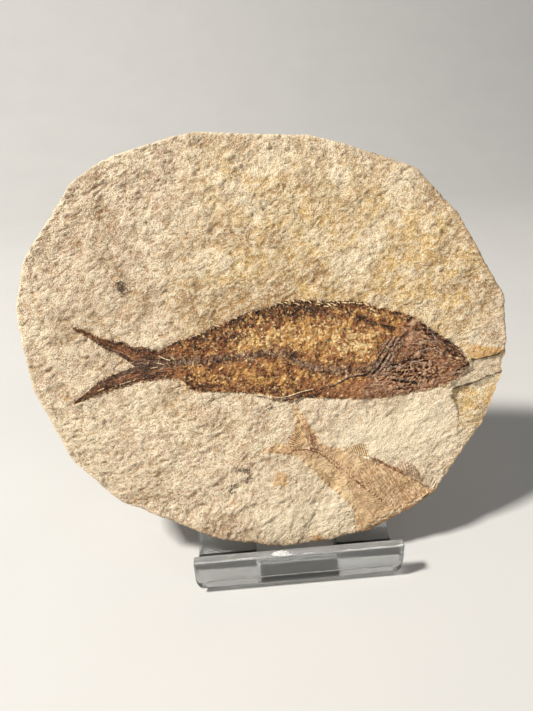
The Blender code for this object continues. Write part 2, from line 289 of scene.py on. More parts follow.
@dataclass(frozen=True)
class Wire:
    """A node's socket that adds Math nodes when it stands in a Python expression."""

    graph: "Graph"
    socket: Any

    def _math(self, operation: str, left: Any, right: Any) -> "Wire":
        """Adds one Math node."""
        return self.graph.add("ShaderNodeMath", {"operation": operation}, {0: left, 1: right})

    def __add__(self, other: Any) -> "Wire":
        """Sum."""
        return self._math("ADD", self, other)

    def __sub__(self, other: Any) -> "Wire":
        """Difference."""
        return self._math("SUBTRACT", self, other)

    def __rsub__(self, other: Any) -> "Wire":
        """Difference, reflected."""
        return self._math("SUBTRACT", other, self)

    def __mul__(self, other: Any) -> "Wire":
        """Product."""
        return self._math("MULTIPLY", self, other)

    def __abs__(self) -> "Wire":
        """Size without its sign."""
        return self._math("ABSOLUTE", self, 0.0)

    __radd__ = __add__
    __rmul__ = __mul__

    def rise(self, low: float, high: float) -> "Wire":
        """Eased rise from 0 at low to 1 at high."""
        settings = {"interpolation_type": "SMOOTHSTEP", "clamp": True}
        return self.graph.add("ShaderNodeMapRange", settings, {0: self, 1: low, 2: high, 3: 0.0, 4: 1.0})


class Graph:
    """A node tree that is built call by call."""

    def __init__(self, tree: bpy.types.NodeTree) -> None:
        """Keeps the tree."""
        self.tree = tree

    def add(self, kind: str, settings: dict[str, Any] | None = None,
            inputs: dict[Any, Any] | None = None, output: int = 0) -> Wire:
        """Adds a node.

        Args:
            kind: The node's type.
            settings: Its properties, set before its sockets.
            inputs: Values or wires by socket name or index.
            output: Index of the output that is used.

        Returns:
            The wire from that output.
        """
        node = self.tree.nodes.new(kind)
        for name, value in (settings or {}).items():
            setattr(node, name, value)
        for name, value in (inputs or {}).items():
            self.plug(node.inputs[name], value)
        return Wire(self, node.outputs[output])

    def plug(self, socket: Any, value: Any) -> None:
        """Links a wire to a socket, or sets the socket's value."""
        if isinstance(value, Wire):
            self.tree.links.new(value.socket, socket)
        else:
            socket.default_value = value


class ShaderTree(Graph):
    """The node tree of one material, with the patterns that the finishes share."""

    def __init__(self, material: bpy.types.Material) -> None:
        """Starts from the material's own Principled shader."""
        super().__init__(material.node_tree)
        self.shader = self.tree.nodes["Principled BSDF"]
        self.output = self.tree.nodes["Material Output"]

    def coat(self, tone: Any, *coats: tuple[Any, Any]) -> Wire:
        """Lays coats over a tone in order, each given by its share from 0 to 1 and its colour."""
        settings = {"data_type": "RGBA", "blend_type": "MIX", "clamp_factor": True}
        for share, colour in coats:
            tone = self.add("ShaderNodeMix", settings, {0: share, 6: tone, 7: colour}, output=2)
        return tone

    def __getitem__(self, name: str) -> Wire:
        """A value kept on the mesh's points."""
        return self.add("ShaderNodeAttribute", {"attribute_name": name}, output=2)

    def mapped(self, place: Wire, **inputs: Any) -> Wire:
        """A place moved, turned or scaled."""
        return self.add("ShaderNodeMapping", inputs={"Vector": place, **inputs})

    def face(self, turn: float | None = None) -> Wire:
        """Place on the slab: millimetres across, into and up the face, or along the axes for a turn of 0."""
        place = self.add("ShaderNodeTexCoord", output=3)
        lean = SLAB.lean if turn is None else turn
        return self.mapped(place, Rotation=(lean, 0.0, 0.0), Scale=(1 / MM,) * 3)

    def stretched(self, place: Wire, turn: float, along: float, across: float) -> Wire:
        """Place turned on the face by an angle and counted in cells of two sizes."""
        turned = self.mapped(place, Rotation=(0.0, turn, 0.0))
        return self.mapped(turned, Scale=(1 / along, 1 / across, 1 / across))

    def grain(self, place: Wire, size: float, detail: float = 3.0, rough: float = 0.55,
              shift: float = 0.0) -> Wire:
        """Noise from 0 to 1 with cells of a size in millimetres.

        Args:
            place: Where it is read.
            size: The cell.
            detail: Finer layers.
            rough: Their strength.
            shift: Moves the pattern, so that two of one size differ.

        Returns:
            The noise.
        """
        if shift:
            place = self.mapped(place, Location=(shift, shift * 0.7, -shift))
        sockets = {"Vector": place, "Scale": 1 / size, "Detail": detail, "Roughness": rough}
        return self.add("ShaderNodeTexNoise", {"noise_dimensions": "3D"}, sockets)

    def bump(self, height: Any, distance: float, strength: float = 1.0) -> Wire:
        """Normal bent by a height, in millimetres of distance."""
        sockets = {"Strength": strength, "Distance": distance * MM, "Height": height}
        return self.add("ShaderNodeBump", inputs=sockets)

    def surface(self, **sockets: Any) -> None:
        """Feeds the Principled shader by socket name, with _ for a space in it."""
        for name, value in sockets.items():
            self.plug(self.shader.inputs[name.replace("_", " ")], value)


class Finish:
    """A procedural material, made once and shared by the pieces that wear it."""

    made: dict[str, bpy.types.Material] = {}
    title = "finish"

    def material(self) -> bpy.types.Material:
        """The finish as a Blender material."""
        if self.title not in Finish.made:
            material = bpy.data.materials.new(self.title)
            material.use_nodes = True
            self.dress(ShaderTree(material))
            Finish.made[self.title] = material
        return Finish.made[self.title]

    def dress(self, tree: ShaderTree) -> None:
        """Builds the shader."""
        raise NotImplementedError


@dataclass(frozen=True)
class StoneFinish(Finish):
    """Split limestone: tan with painted highlight on its crests and painted shade in its hollows, warm and
    grey patches, specks, and a paler broken rim with a painted highlight on its upper-left side and painted
    shade on its far side.
    """

    title: str = "split_limestone"
    cream: Colour = pigment(250, 234, 202)
    umber: Colour = pigment(152, 116, 77)
    honey: Colour = pigment(219, 181, 109)
    blush: Colour = pigment(223, 199, 172)
    ash: Colour = pigment(192, 172, 142)
    orange: Colour = pigment(205, 152, 84)
    speck: Colour = pigment(112, 78, 50)
    soot: Colour = pigment(82, 66, 56)
    # Colour of the painted shadow along the cracks.
    cleft: Colour = pigment(60, 42, 30)
    film: Colour = pigment(172, 122, 76)
    streak: float = math.radians(28.0)

    def ground(self, tree: ShaderTree) -> tuple[Wire, Wire]:
        """The stone without its marks, which the fossils share where their film is thin.

        Args:
            tree: The tree that it is built in.

        Returns:
            The colour, and the height of its grain.
        """
        place = tree.face()
        ripple = tree.grain(tree.stretched(place, self.streak, 1.5, 0.72), 1.0, 4.0, 0.62)
        fleck = tree.grain(place, 0.42, 2.0, 0.6, 31.0)
        cloud = tree.grain(place, 9.0, 3.0, 0.55, 5.0)
        broad = tree.grain(place, 10.0, 2.0, 0.5, 91.0)
        tone = tree.coat(
            self.blush,
            ((cloud + tree["warm"] - 0.5).rise(0.0, 0.8), self.honey),
            (cloud.rise(0.47, 0.6) * 0.5, self.ash),
            (broad.rise(0.48, 0.34) * 0.75, self.umber),
            (broad.rise(0.52, 0.66) * 0.75, self.cream),
            (tree.grain(place, 2.6, 3.0, 0.6, 17.0).rise(0.46, 0.62) * 0.4, self.ash),
            (tree.grain(place, 4.2, 3.0, 0.6, 63.0).rise(0.5, 0.62) * 0.4, self.cream),
            # These four coats follow the bump height: cream where the grain stands high, umber where it lies
            # low, a painted highlight and painted shade.
            (ripple.rise(0.5, 0.64) * 0.4, self.cream),
            (ripple.rise(0.48, 0.34) * 0.35, self.umber),
            (fleck.rise(0.52, 0.62) * 0.62, self.cream),
            (fleck.rise(0.47, 0.37) * 0.72, self.umber),
            (tree.grain(place, 1.4, 3.0, 0.6, 43.0).rise(0.6, 0.68) * 0.6, self.orange),
        )
        return tone, ripple * 0.45 + fleck * 0.55

    def dress(self, tree: ShaderTree) -> None:
        """Adds the slab's own marks, the painted shadow along its cracks, and its rim with painted highlight
        and painted shade.
        """
        tone, height = self.ground(tree)
        place = tree.face()
        relief = tree["relief"]
        blot = tree.grain(place, 1.3, 3.0, 0.6, 71.0)
        grit = tree.grain(place, 0.45, 2.0, 0.5, 83.0)
        soot = tree["soot"] + (blot - 0.5) * 1.4 + (grit - 0.5) * 3.2
        crack = abs(tree["crack"]) + (1.0 - tree["cracked"]) * 2.0
        tone = tree.coat(
            tone,
            # Cream on the relief's crests and umber in its hollows: painted highlight and painted shade.
            (relief.rise(0.0, 1.0) * 0.55, self.cream),
            ((0.0 - relief).rise(0.0, 1.1) * 0.55, self.umber),
            (tree["ash"] * 0.55, self.ash),
            # Painted light: paler where the lamp falls off.
            (tree["pale"], self.cream),
            ((tree["stain"] + blot - 0.9).rise(0.0, 0.45) * 0.75, self.orange),
            (tree.grain(place, 0.7, 3.0, 0.6, 57.0).rise(0.7, 0.76) * 0.75, self.speck),
            (tree["tint"] * grit.rise(0.36, 0.56), self.film),
            (soot.rise(0.05, 0.5) * 0.85, self.soot),
            # Dark line along the cracks: painted shadow under each step, over the real steps in the mesh.
            ((0.52 - crack).rise(0.0, 0.38) * 0.85, self.cleft),
            # Paler broken rim with a painted highlight on its lit side, then the rim darkened on its far side
            # as painted shade, and more where it cuts the small fish.
            (tree["pale_break_and_highlight"], self.cream),
            (tree["dark_rim_and_shade"], self.umber),
        )
        tree.surface(Base_Color=tone, Roughness=0.82, Normal=tree.bump(height, 1.3), Specular_IOR_Level=0.28)


@dataclass(frozen=True)
class DarkFossilFinish(Finish):
    """The large fish: gold, brown and black mottling, a grey backbone, rust and bare stone at its edges."""

    title: str = "dark_fossil_skin"
    stone: StoneFinish = StoneFinish()
    brown: Colour = pigment(145, 93, 53)
    gold: Colour = pigment(197, 147, 83)
    straw: Colour = pigment(235, 208, 153)
    rust: Colour = pigment(158, 108, 76)
    slate: Colour = pigment(132, 112, 98)
    dark: Colour = pigment(89, 51, 29)
    black: Colour = pigment(44, 27, 19)
    # Colour of the painted highlight on the head's crests.
    blush: Colour = pigment(198, 163, 132)

    def dress(self, tree: ShaderTree) -> None:
        """Mixes the tones by the values painted on the fish."""
        place = tree.face()
        cloud = tree.grain(place, 2.4, 3.0, 0.6, 3.0) - 0.5
        blot = tree.grain(place, 1.0, 4.0, 0.65, 9.0) - 0.5
        mottle = tree.grain(place, 0.6, 3.0, 0.65, 21.0) - 0.5
        grit = tree.grain(place, 0.34, 2.0, 0.6, 33.0) - 0.5
        flake = tree.grain(place, 0.75, 3.0, 0.65, 77.0) - 0.5
        speckled = 1.0 - tree["folded"] * 0.6
        dusk = tree["dark"] + (blot * 2.2 + mottle * 1.7) * speckled
        thin = tree["edge"] + mottle * 2.6 + grit * 1.4
        tone = tree.coat(
            self.brown,
            ((tree["gold"] + cloud * 2.8 + blot * 1.9).rise(0.1, 0.75), self.gold),
            ((tree["straw"] + flake * 3.4).rise(0.3, 0.75) * 0.9, self.straw),
            ((tree["rust"] + blot * 2.0).rise(0.3, 0.8) * 0.85, self.rust),
            ((tree["slate"] + mottle * 3.0).rise(0.35, 0.65) * 0.85, self.slate),
            (dusk.rise(0.26, 0.6) * 0.85, self.dark),
            ((dusk + (mottle * 1.5 + grit * 1.9) * speckled).rise(0.66, 0.95) * 0.9, self.black),
            # Painted highlight on the head's fold crests and gill ridges.
            ((tree["crest_highlight"] + grit * 1.4).rise(0.5, 0.95) * 0.7, self.blush),
            ((grit * 1.3 + flake * 1.8).rise(0.18, 0.4) * 0.7, self.straw),
            (1.0 - thin.rise(0.0, 0.2), self.stone.ground(tree)[0]),
        )
        normal = tree.bump(blot * 0.3 + mottle * 0.4 + grit * 0.5, 0.85)
        tree.surface(Base_Color=tone, Roughness=0.56 + mottle * 0.5, Normal=normal, Specular_IOR_Level=0.3)


@dataclass(frozen=True)
class LightFossilFinish(Finish):
    """The small fish: a thin brown stain that the stone shows through, with fine slanting striations."""

    title: str = "light_fossil_skin"
    stone: StoneFinish = StoneFinish()
    film: Colour = pigment(192, 158, 117)
    olive: Colour = pigment(158, 128, 92)
    umber: Colour = pigment(140, 98, 64)
    rust: Colour = pigment(160, 102, 74)
    dark: Colour = pigment(104, 64, 46)
    straw: Colour = pigment(226, 200, 152)

    def dress(self, tree: ShaderTree) -> None:
        """Mixes stain and stone by the values painted on the fish."""
        place = tree.face()
        bare, grain = self.stone.ground(tree)
        cloud = tree.grain(place, 2.2, 3.0, 0.6, 13.0) - 0.5
        mottle = tree.grain(place, 0.7, 3.0, 0.6, 27.0) - 0.5
        grit = tree.grain(place, 0.35, 2.0, 0.5, 39.0) - 0.5
        patch = tree.grain(place, 1.8, 3.0, 0.6, 87.0) - 0.5
        shade = tree.grain(place, 3.0, 4.0, 0.65, 51.0)
        scratch = tree.grain(tree.stretched(place, math.radians(-62.0), 2.2, 0.42), 1.0, 2.0, 0.5)
        thin = tree["edge"] + mottle * 0.9
        tone = tree.coat(
            bare,
            ((tree["cover"] + cloud * 0.6 + mottle * 0.5).rise(0.0, 0.9) * 0.85, self.film),
            ((shade + mottle * 0.3).rise(0.5, 0.62) * 0.7, self.olive),
            ((tree["straw"] + mottle * 1.4 + patch * 2.4).rise(0.3, 0.8) * 0.75, self.straw),
            ((tree["striped"] + (scratch - 0.5) * 3.2).rise(0.4, 0.85) * 0.75, self.umber),
            ((scratch + grit * 0.5).rise(0.45, 0.33) * 0.25, self.straw),
            ((tree["rust"] + mottle * 1.3).rise(0.35, 0.85) * 0.8, self.rust),
            ((tree["dark"] + grit * 1.6).rise(0.35, 0.75) * 0.85, self.dark),
            (1.0 - thin.rise(0.0, 0.22), bare),
        )
        normal = tree.bump(grain * 0.5 + mottle * 0.3 + scratch * 0.35, 0.6)
        tree.surface(Base_Color=tone, Roughness=0.7 + grit * 0.3, Normal=normal, Specular_IOR_Level=0.3)


class BoneTone(Enum):
    """Named tones of bones, rays and scutes, as a dark and a light paint chip."""

    CHARRED = (pigment(58, 40, 32), pigment(122, 96, 78))
    BROWN = (pigment(104, 66, 44), pigment(176, 132, 92))
    RUST = (pigment(140, 92, 54), pigment(186, 136, 88))
    SLATE = (pigment(72, 58, 52), pigment(186, 168, 148))
    BUFF = (pigment(128, 84, 58), pigment(236, 208, 164))
    PALE = (pigment(196, 162, 110), pigment(244, 226, 186))


@dataclass(frozen=True)
class BoneFinish(Finish):
    """Fossil bone in one of the named tones, streaked by fine grain."""

    tone: BoneTone

    @property
    def title(self) -> str:
        """Name of the material."""
        return f"{self.tone.name.lower()}_bone"

    def dress(self, tree: ShaderTree) -> None:
        """Mixes the tone's two chips."""
        low, high = self.tone.value
        streak = tree.grain(tree.face(), 0.5, 3.0, 0.6, 11.0)
        pits = tree.grain(tree.face(), 0.2, 2.0, 0.5, 23.0)
        tone = tree.coat(low, ((streak * 0.7 + pits * 0.3).rise(0.38, 0.64), high))
        normal = tree.bump(pits, 0.08, 0.7)
        tree.surface(Base_Color=tone, Roughness=0.5 + streak * 0.2, Normal=normal, Specular_IOR_Level=0.4)


@dataclass(frozen=True)
class AcrylicFinish(Finish):
    """Clear acrylic sheet, a little dull from handling, with sawn edges left rough."""

    title: str = "clear_acrylic_sheet"
    tint: Colour = (0.93, 0.945, 0.945, 1.0)
    index: float = 1.49
    absorbed: Colour = (0.74, 0.76, 0.75, 1.0)
    density: float = 13.0
    dust: Colour = pigment(222, 222, 220)

    def dress(self, tree: ShaderTree) -> None:
        """Plain transmission with rough cut edges and fine scratches."""
        world = tree.face(0.0)
        across, into, up = (tree.add("ShaderNodeSeparateXYZ", inputs={0: world}, output=k) for k in range(3))
        lip_top = up.rise(11.0, 11.25) * (1.0 - into.rise(-3.6, -3.2))
        sawn = (abs(across).rise(28.15, 28.4) + lip_top).rise(0.0, 1.0)
        smear = tree.grain(world, 6.0, 4.0, 0.6)
        scratch = tree.grain(tree.stretched(world, math.radians(12.0), 14.0, 0.35), 1.0, 3.0, 0.6)
        saw = tree.grain(tree.stretched(world, 0.0, 0.5, 2.4), 1.0, 3.0, 0.6)
        dots = tree.grain(world, 0.9, 3.0, 0.6, 7.0).rise(0.62, 0.7)
        rough = 0.045 + smear.rise(0.4, 0.75) * 0.09 + scratch.rise(0.64, 0.7) * 0.12 + sawn * 0.3
        normal = tree.bump(saw * sawn + scratch * 0.05, 0.12, 0.6)
        tree.surface(Base_Color=self.tint, Roughness=rough, Normal=normal, IOR=self.index,
                     Transmission_Weight=1.0)
        haze = tree.add("ShaderNodeBsdfDiffuse", inputs={0: self.dust, 1: 0.5})
        cloudy = 0.035 + sawn * 0.14 + sawn * dots * 0.7 + scratch.rise(0.62, 0.72) * 0.1
        clear = Wire(tree, tree.shader.outputs[0])
        mixed = tree.add("ShaderNodeMixShader", inputs={0: cloudy, 1: clear, 2: haze})
        tree.plug(tree.output.inputs["Surface"], mixed)
        volume = tree.add("ShaderNodeVolumeAbsorption", inputs={0: self.absorbed, 1: self.density})
        tree.plug(tree.output.inputs["Volume"], volume)


@dataclass(frozen=True)
class FrostFinish(Finish):
    """White frosted chips and dried residue."""

    title: str = "white_frost"
    white: Colour = pigment(236, 236, 232)
    grey: Colour = pigment(176, 176, 172)

    def dress(self, tree: ShaderTree) -> None:
        """White with grey hollows."""
        crumb = tree.grain(tree.face(), 0.4, 4.0, 0.6)
        tone = tree.coat(self.grey, (crumb.rise(0.35, 0.6), self.white))
        normal = tree.bump(crumb, 0.2, 0.8)
        tree.surface(Base_Color=tone, Roughness=0.6, Normal=normal, Specular_IOR_Level=0.5)


@dataclass(frozen=True)
class FloorFinish(Finish):
    """Plain pale floor with a faint grain."""

    title: str = "pale_floor"
    pale: Colour = pigment(204, 203, 200)
    shade: Colour = pigment(197, 196, 193)

    def dress(self, tree: ShaderTree) -> None:
        """Pale grey with soft clouds."""
        clouds = tree.grain(tree.face(), 60.0, 3.0, 0.5)
        tree.surface(Base_Color=tree.coat(self.shade, (clouds, self.pale)), Roughness=0.7)


# Geometry Nodes for what follows a path


def linked(name: str, data: Any) -> Piece:
    """A new object at the origin, in the scene."""
    obj = bpy.data.objects.new(name, data)
    bpy.context.scene.collection.objects.link(obj)
    return obj


def flatten(obj: Piece) -> None:
    """Turns what an object's modifiers make into its own plain mesh."""
    bpy.context.view_layer.update()
    made = bpy.data.meshes.new_from_object(obj.evaluated_get(bpy.context.evaluated_depsgraph_get()))
    obj.modifiers.clear()
    start, obj.data = obj.data, made
    bpy.data.meshes.remove(start)
    made.name = obj.name


def settle(piece: Piece, slot: str, *nodes: str) -> Piece:
    """Puts a finished piece on the body and hides the CAD nodes that it stands for.

    Args:
        piece: The piece.
        slot: The record's material slot; not used.
        nodes: CAD nodes that it replaces.

    Returns:
        The piece.
    """
    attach(piece, "root")
    if nodes:
        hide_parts(*nodes)
    LOG.info("%s: %d faces", piece.name, len(piece.data.polygons))
    return piece


def plain_object(name: str, points: Array, faces: Iterable[Sequence[int]], finish: Finish,
                 values: dict[str, Array] | None = None) -> Piece:
    """An object at the origin with its place in its mesh.

    Args:
        name: Name of the piece.
        points: Rows of x, y and z in metres.
        faces: Corner indices of each face.
        finish: What it wears.
        values: Values painted on the points, by name.

    Returns:
        The object, linked to the scene and shaded smooth.
    """
    mesh = bpy.data.meshes.new(name)
    mesh.from_pydata(points.tolist(), [], [list(face) for face in faces])
    for title, painted in (values or {}).items():
        kept = mesh.attributes.new(title, "FLOAT", "POINT")
        kept.data.foreach_set("value", np.ascontiguousarray(np.ravel(painted), np.float32))
    mesh.shade_smooth()
    mesh.materials.append(finish.material())
    return linked(name, mesh)


class Paths:
    """Listed or worked-out lines on a surface, gathered as one mesh of edges for a tree to grow on."""

    def __init__(self) -> None:
        """Starts with no lines."""
        self.points: list[Array] = []
        self.girths: list[Array] = []
        self.edges: list[tuple[int, int]] = []

    def lay(self, points: Array, girth: Array, tip: float | None = None) -> None:
        """Adds a line.

        Args:
            points: Rows of x, y and z in metres.
            girth: Radius in millimetres at each point, or at the root where a tip is given.
            tip: Radius at the line's end, which the girth falls to evenly.
        """
        first = sum(len(line) for line in self.points)
        if tip is not None:
            girth = np.linspace(girth, tip, len(points))
        self.points.append(points)
        self.girths.append(np.broadcast_to(np.asarray(girth, float) * MM, (len(points),)))
        self.edges += [(first + k, first + k + 1) for k in range(len(points) - 1)]

    def to_object(self, name: str) -> Piece:
        """The lines as an object whose points hold their girth."""
        mesh = bpy.data.meshes.new(name)
        mesh.from_pydata(np.vstack(self.points).tolist(), self.edges, [])
        kept = mesh.attributes.new("girth", "FLOAT", "POINT")
        kept.data.foreach_set("value", np.concatenate(self.girths).astype(np.float32))
        return linked(name, mesh)


class GeometryTree(Graph):
    """A Geometry Nodes tree with named inputs, ending in realized and dressed geometry."""

    def __init__(self, title: str, **inputs: float) -> None:
        """Makes the group, its sockets and its even points along the paths.

        Args:
            title: Name of the tree.
            inputs: Default value by input name, an int or a float as the socket is.
        """
        super().__init__(bpy.data.node_groups.new(title, "GeometryNodeTree"))
        face = self.tree.interface
        face.new_socket("Geometry", in_out="OUTPUT", socket_type="NodeSocketGeometry")
        self.sockets = {}
        for name, value in {"Path": "Geometry", **inputs, "Material": "Material"}.items():
            kind = value if isinstance(value, str) else type(value).__name__.title()
            self.sockets[name] = face.new_socket(name, in_out="INPUT", socket_type=f"NodeSocket{kind}")
            if kind != value:
                self.sockets[name].default_value = value
        self.start = self.tree.nodes.new("NodeGroupInput")
        curve = self.add("GeometryNodeMeshToCurve", inputs={"Mesh": self.given("Path")})
        self.even = self.add("GeometryNodeResampleCurve", {"mode": "LENGTH"},
                             {"Curve": curve, "Length": self.given("Step")})
        self.girth = self.add("GeometryNodeInputNamedAttribute", {"data_type": "FLOAT"}, {"Name": "girth"})

    def given(self, name: str) -> Wire:
        """The socket of a named input."""
        return Wire(self, self.start.outputs[name])

    def worn(self, least: Any) -> Wire:
        """The paths' girth, made thinner at random down to a least share."""
        limits = {2: least, 3: 1.0, "Seed": self.given("Seed")}
        return self.girth * self.add("FunctionNodeRandomValue", {"data_type": "FLOAT"}, limits, output=1)

    def finish(self, geometry: Wire) -> None:
        """Realizes, smooths and dresses the geometry, and makes it the tree's result."""
        real = self.add("GeometryNodeRealizeInstances", inputs={"Geometry": geometry})
        smooth = self.add("GeometryNodeSetShadeSmooth", inputs={"Geometry": real})
        dressed = self.add("GeometryNodeSetMaterial",
                           inputs={"Geometry": smooth, "Material": self.given("Material")})
        self.plug(self.tree.nodes.new("NodeGroupOutput").inputs["Geometry"], dressed)

    def grow(self, paths: Paths, name: str, slot: str, finish: Finish, **values: Any) -> Piece:
        """Grows a piece along paths and keeps it as a plain mesh on the body.

        Args:
            paths: The lines that it follows.
            name: Name of the piece.
            slot: The record's material slot.
            finish: What it wears.
            values: Values of the named inputs.

        Returns:
            The piece.
        """
        piece = paths.to_object(name)
        modifier = piece.modifiers.new(name, "NODES")
        modifier.node_group = self.tree
        for title, value in {**values, "Material": finish.material()}.items():
            modifier[self.sockets[title].identifier] = value
        flatten(piece)
        return settle(piece, slot)


class RayTree(GeometryTree):
    """Thin rays, ribs and fibres: a round profile of changing girth along each path."""

    def __init__(self) -> None:
        """Builds the tree."""
        super().__init__("fossil_rays", Step=0.3 * MM, Sides=6, Wear=0.25, Seed=3)
        profile = self.add("GeometryNodeCurvePrimitiveCircle", {"mode": "RADIUS"},
                           {"Resolution": self.given("Sides"), "Radius": 1.0})
        self.finish(self.add("GeometryNodeCurveToMesh", inputs={
            "Curve": self.even, "Profile Curve": profile, "Scale": self.worn(1.0 - self.given("Wear")),
            "Fill Caps": True,
        }))


class BeadTree(GeometryTree):
    """Beads threaded along a path: vertebrae, or chips along an edge."""

    def __init__(self) -> None:
        """Builds the tree."""
        super().__init__("fossil_beads", Step=1.0 * MM, Length=0.7, Height=0.6, Least=0.75, Seed=5)
        ball = self.add("GeometryNodeMeshUVSphere", inputs={"Segments": 9, "Rings": 6, "Radius": 1.0})
        shape = self.add("ShaderNodeCombineXYZ",
                         inputs={0: self.given("Length"), 1: 1.0, 2: self.given("Height")})
        bead = self.add("GeometryNodeTransform", inputs={"Geometry": ball, "Scale": shape})
        turn = self.add("FunctionNodeAlignRotationToVector", {"axis": "X", "pivot_axis": "AUTO"},
                        {"Vector": self.add("GeometryNodeInputTangent")})
        self.finish(self.add("GeometryNodeInstanceOnPoints", inputs={
            "Points": self.even, "Instance": bead, "Rotation": turn, "Scale": self.worn(self.given("Least")),
        }))


RAYS = RayTree()
BEADS = BeadTree()


# The stone


@dataclass(frozen=True)
class Flake:
    """A flake lost from the face: its outline, and how deep it broke at its top and at its foot."""

    outline: Points
    top: float
    foot: float
    span: tuple[float, float]

    def depth(self, u: Array, v: Array) -> Array:
        """Depth of the break in millimetres at each place."""
        inside = inside_distance(u, v, np.array(self.outline, float))
        level = self.foot + (self.top - self.foot) * ease(v, *self.span)
        return level * ease(inside, -0.15, 0.25)


FLAKES = (
    Flake(((51.3, 53.4), (50.5, 55.2), (54.3, 55.4), (58, 54), (66, 53.6), (66, 52.6), (62.6, 52.4),
           (61.4, 51.4), (57.8, 50.8), (55.2, 50.4), (52.9, 50.6)), 0.12, 0.12, (50, 52)),
    Flake(((45.5, 42.4), (50.5, 46.6), (53.4, 48.6), (54, 50.6), (55.2, 50.5), (57.8, 50.9), (61.4, 51.5),
           (62.6, 52.5), (66, 52.8), (66, 46.8), (59.9, 45.9), (57.6, 45.4), (54.9, 44.3), (51.7, 43.4),
           (49.0, 42.7)), 0.75, 0.5, (44.0, 50.0)),
    Flake(((47.4, 42.4), (47, 40), (48.2, 39), (48.9, 35.8), (48.4, 31.8), (47.7, 29.3), (50.8, 26.8),
           (54, 26), (66, 40), (66, 46.9), (62.4, 46.4), (59.9, 46), (57.6, 45.5), (54.9, 44.4),
           (51.7, 43.5)), 1.2, 0.2, (27.0, 44.0)),
)
UPPER_CRACK: Points = ((52.6, 50.6), (55.2, 50.5), (57.8, 50.9), (61.4, 51.5), (62.6, 52.5), (65, 52.8))
LOWER_CRACK: Points = ((45.8, 42.5), (49, 42.7), (51.7, 43.4), (54.9, 44.3), (57.6, 45.4), (59.9, 45.9),
                       (65.0, 46.9))
SPALL_EDGE: Points = (*FLAKES[2].outline[:6], (46.5, 27.9))


@dataclass
class StoneFace:
    """Relief of the split face in millimetres: swells, slanting ripples, pebbling and thin ledges."""

    swell: float = 0.2
    roll: float = 0.42
    ripple: float = 0.27
    pebble: float = 0.21
    lump: float = 0.12
    ledge: float = 0.13
    streak: float = math.radians(28.0)
    noise: Noise = field(default_factory=lambda: Noise(31))
    warp: Noise = field(default_factory=lambda: Noise(47))

    def ripples(self, u: Array, v: Array) -> Array:
        """The fine relief alone: short ripples that rise to the right, with pebbling between them."""
        bend = 1.4 * self.warp.at(u, v, 5.0, 2)
        sine, cosine = math.sin(self.streak), math.cos(self.streak)
        along = u * cosine + v * sine + bend
        across = v * cosine - u * sine + 1.0 * self.warp.at(u + 40, v, 4.0, 2)
        long = self.noise.at(along / 1.9, across, 1.3, 2, 0.6)
        short = self.noise.at(along / 1.3 + 50, across + 20, 0.82, 2, 0.5)
        lumps = 0.55 - 2.0 * np.abs(self.noise.layer(along / 1.5 + 7, across / 1.05 + 3))
        calm = 1.0 - 0.16 * brush(u, v, ((26.0, 30.0), (50.0, 42.0)), 16.0)
        return calm * (self.ripple * long + self.pebble * short - self.lump * lumps)

    def broad(self, u: Array, v: Array) -> Array:
        """Swells, rolling ground and the thin ledges where a layer of the stone ends."""
        swell = self.swell * self.noise.at(u + 90, v, 26.0, 2)
        roll = self.roll * self.noise.at(u * 0.8 + v * 0.3, v - u * 0.4 + 30, 6.5, 2, 0.6)
        steps = self.warp.at(u + v * 0.4, v - u * 0.3 + 70, 15.0, 3)
        ledges = self.ledge * (ease(steps, 0.02, 0.07) + ease(steps, -0.32, -0.27) - 1.0)
        return swell + roll + ledges

    def relief(self, u: Array, v: Array) -> Array:
        """The whole of the face's relief, without the lost flakes."""
        return self.broad(u, v) + self.ripples(u, v)

    def height(self, u: Array, v: Array) -> Array:
        """The face's height with the flakes gone."""
        lost = np.zeros(np.shape(u))
        near = (u > 44.0) & (v > 24.0) & (v < 58.0)
        for flake in FLAKES:
            depth = flake.depth(u[near], v[near])
            lost[near] = np.maximum(lost[near], depth)
        return self.relief(u, v) - lost


STONE = StoneFace()


@dataclass
class FishLines:
    """A fish laid out by its back, spine and belly, and by each tail lobe's outer and fork-side edge."""

    back: Points
    spine: Points
    belly: Points
    lobes: tuple[tuple[Points, Points], tuple[Points, Points]]

    def __post_init__(self) -> None:
        """Smooths the lines once."""
        self.top, self.mid, self.low = (flowing(line) for line in (self.back, self.spine, self.belly))
        self.lobe_lines = [(flowing(edge), flowing(fork)) for edge, fork in self.lobes]
        (upper_edge, upper_fork), (lower_edge, lower_fork) = self.lobe_lines
        self.outline = np.vstack([
            self.low, self.top[::-1], upper_edge[1:], upper_fork[:0:-1], lower_fork, lower_edge[:0:-1],
        ])
        self.length = lengths_along(self.mid)[-1]

    def place(self, along: Array, across: Array) -> Pair:
        """Places on the body.

        Args:
            along: From 0 at the tail's fork to 1 at the head's end.
            across: From -1 at the belly to 1 at the back.

        Returns:
            The u and v of each place.
        """
        mu, mv = at_share(self.mid, along)
        tu, tv = at_share(self.top, along)
        lu, lv = at_share(self.low, along)
        side = np.abs(across)
        eu, ev = np.where(across >= 0, tu, lu), np.where(across >= 0, tv, lv)
        return mu + (eu - mu) * side, mv + (ev - mv) * side

    def half_depth(self, along: Array, across: Array) -> Array:
        """Distance in millimetres from the spine to the back or the belly."""
        mu, mv = at_share(self.mid, along)
        eu, ev = self.place(along, np.sign(across) + (across == 0))
        return np.hypot(eu - mu, ev - mv)

    def lobe(self, which: int, along: Array, across: Array) -> Pair:
        """Places on a tail lobe, from the root at 0 to the tip at 1 and from its fork side to its edge."""
        edge, fork = self.lobe_lines[which]
        eu, ev = at_share(edge, along)
        fu, fv = at_share(fork, along)
        return fu + (eu - fu) * across, fv + (ev - fv) * across


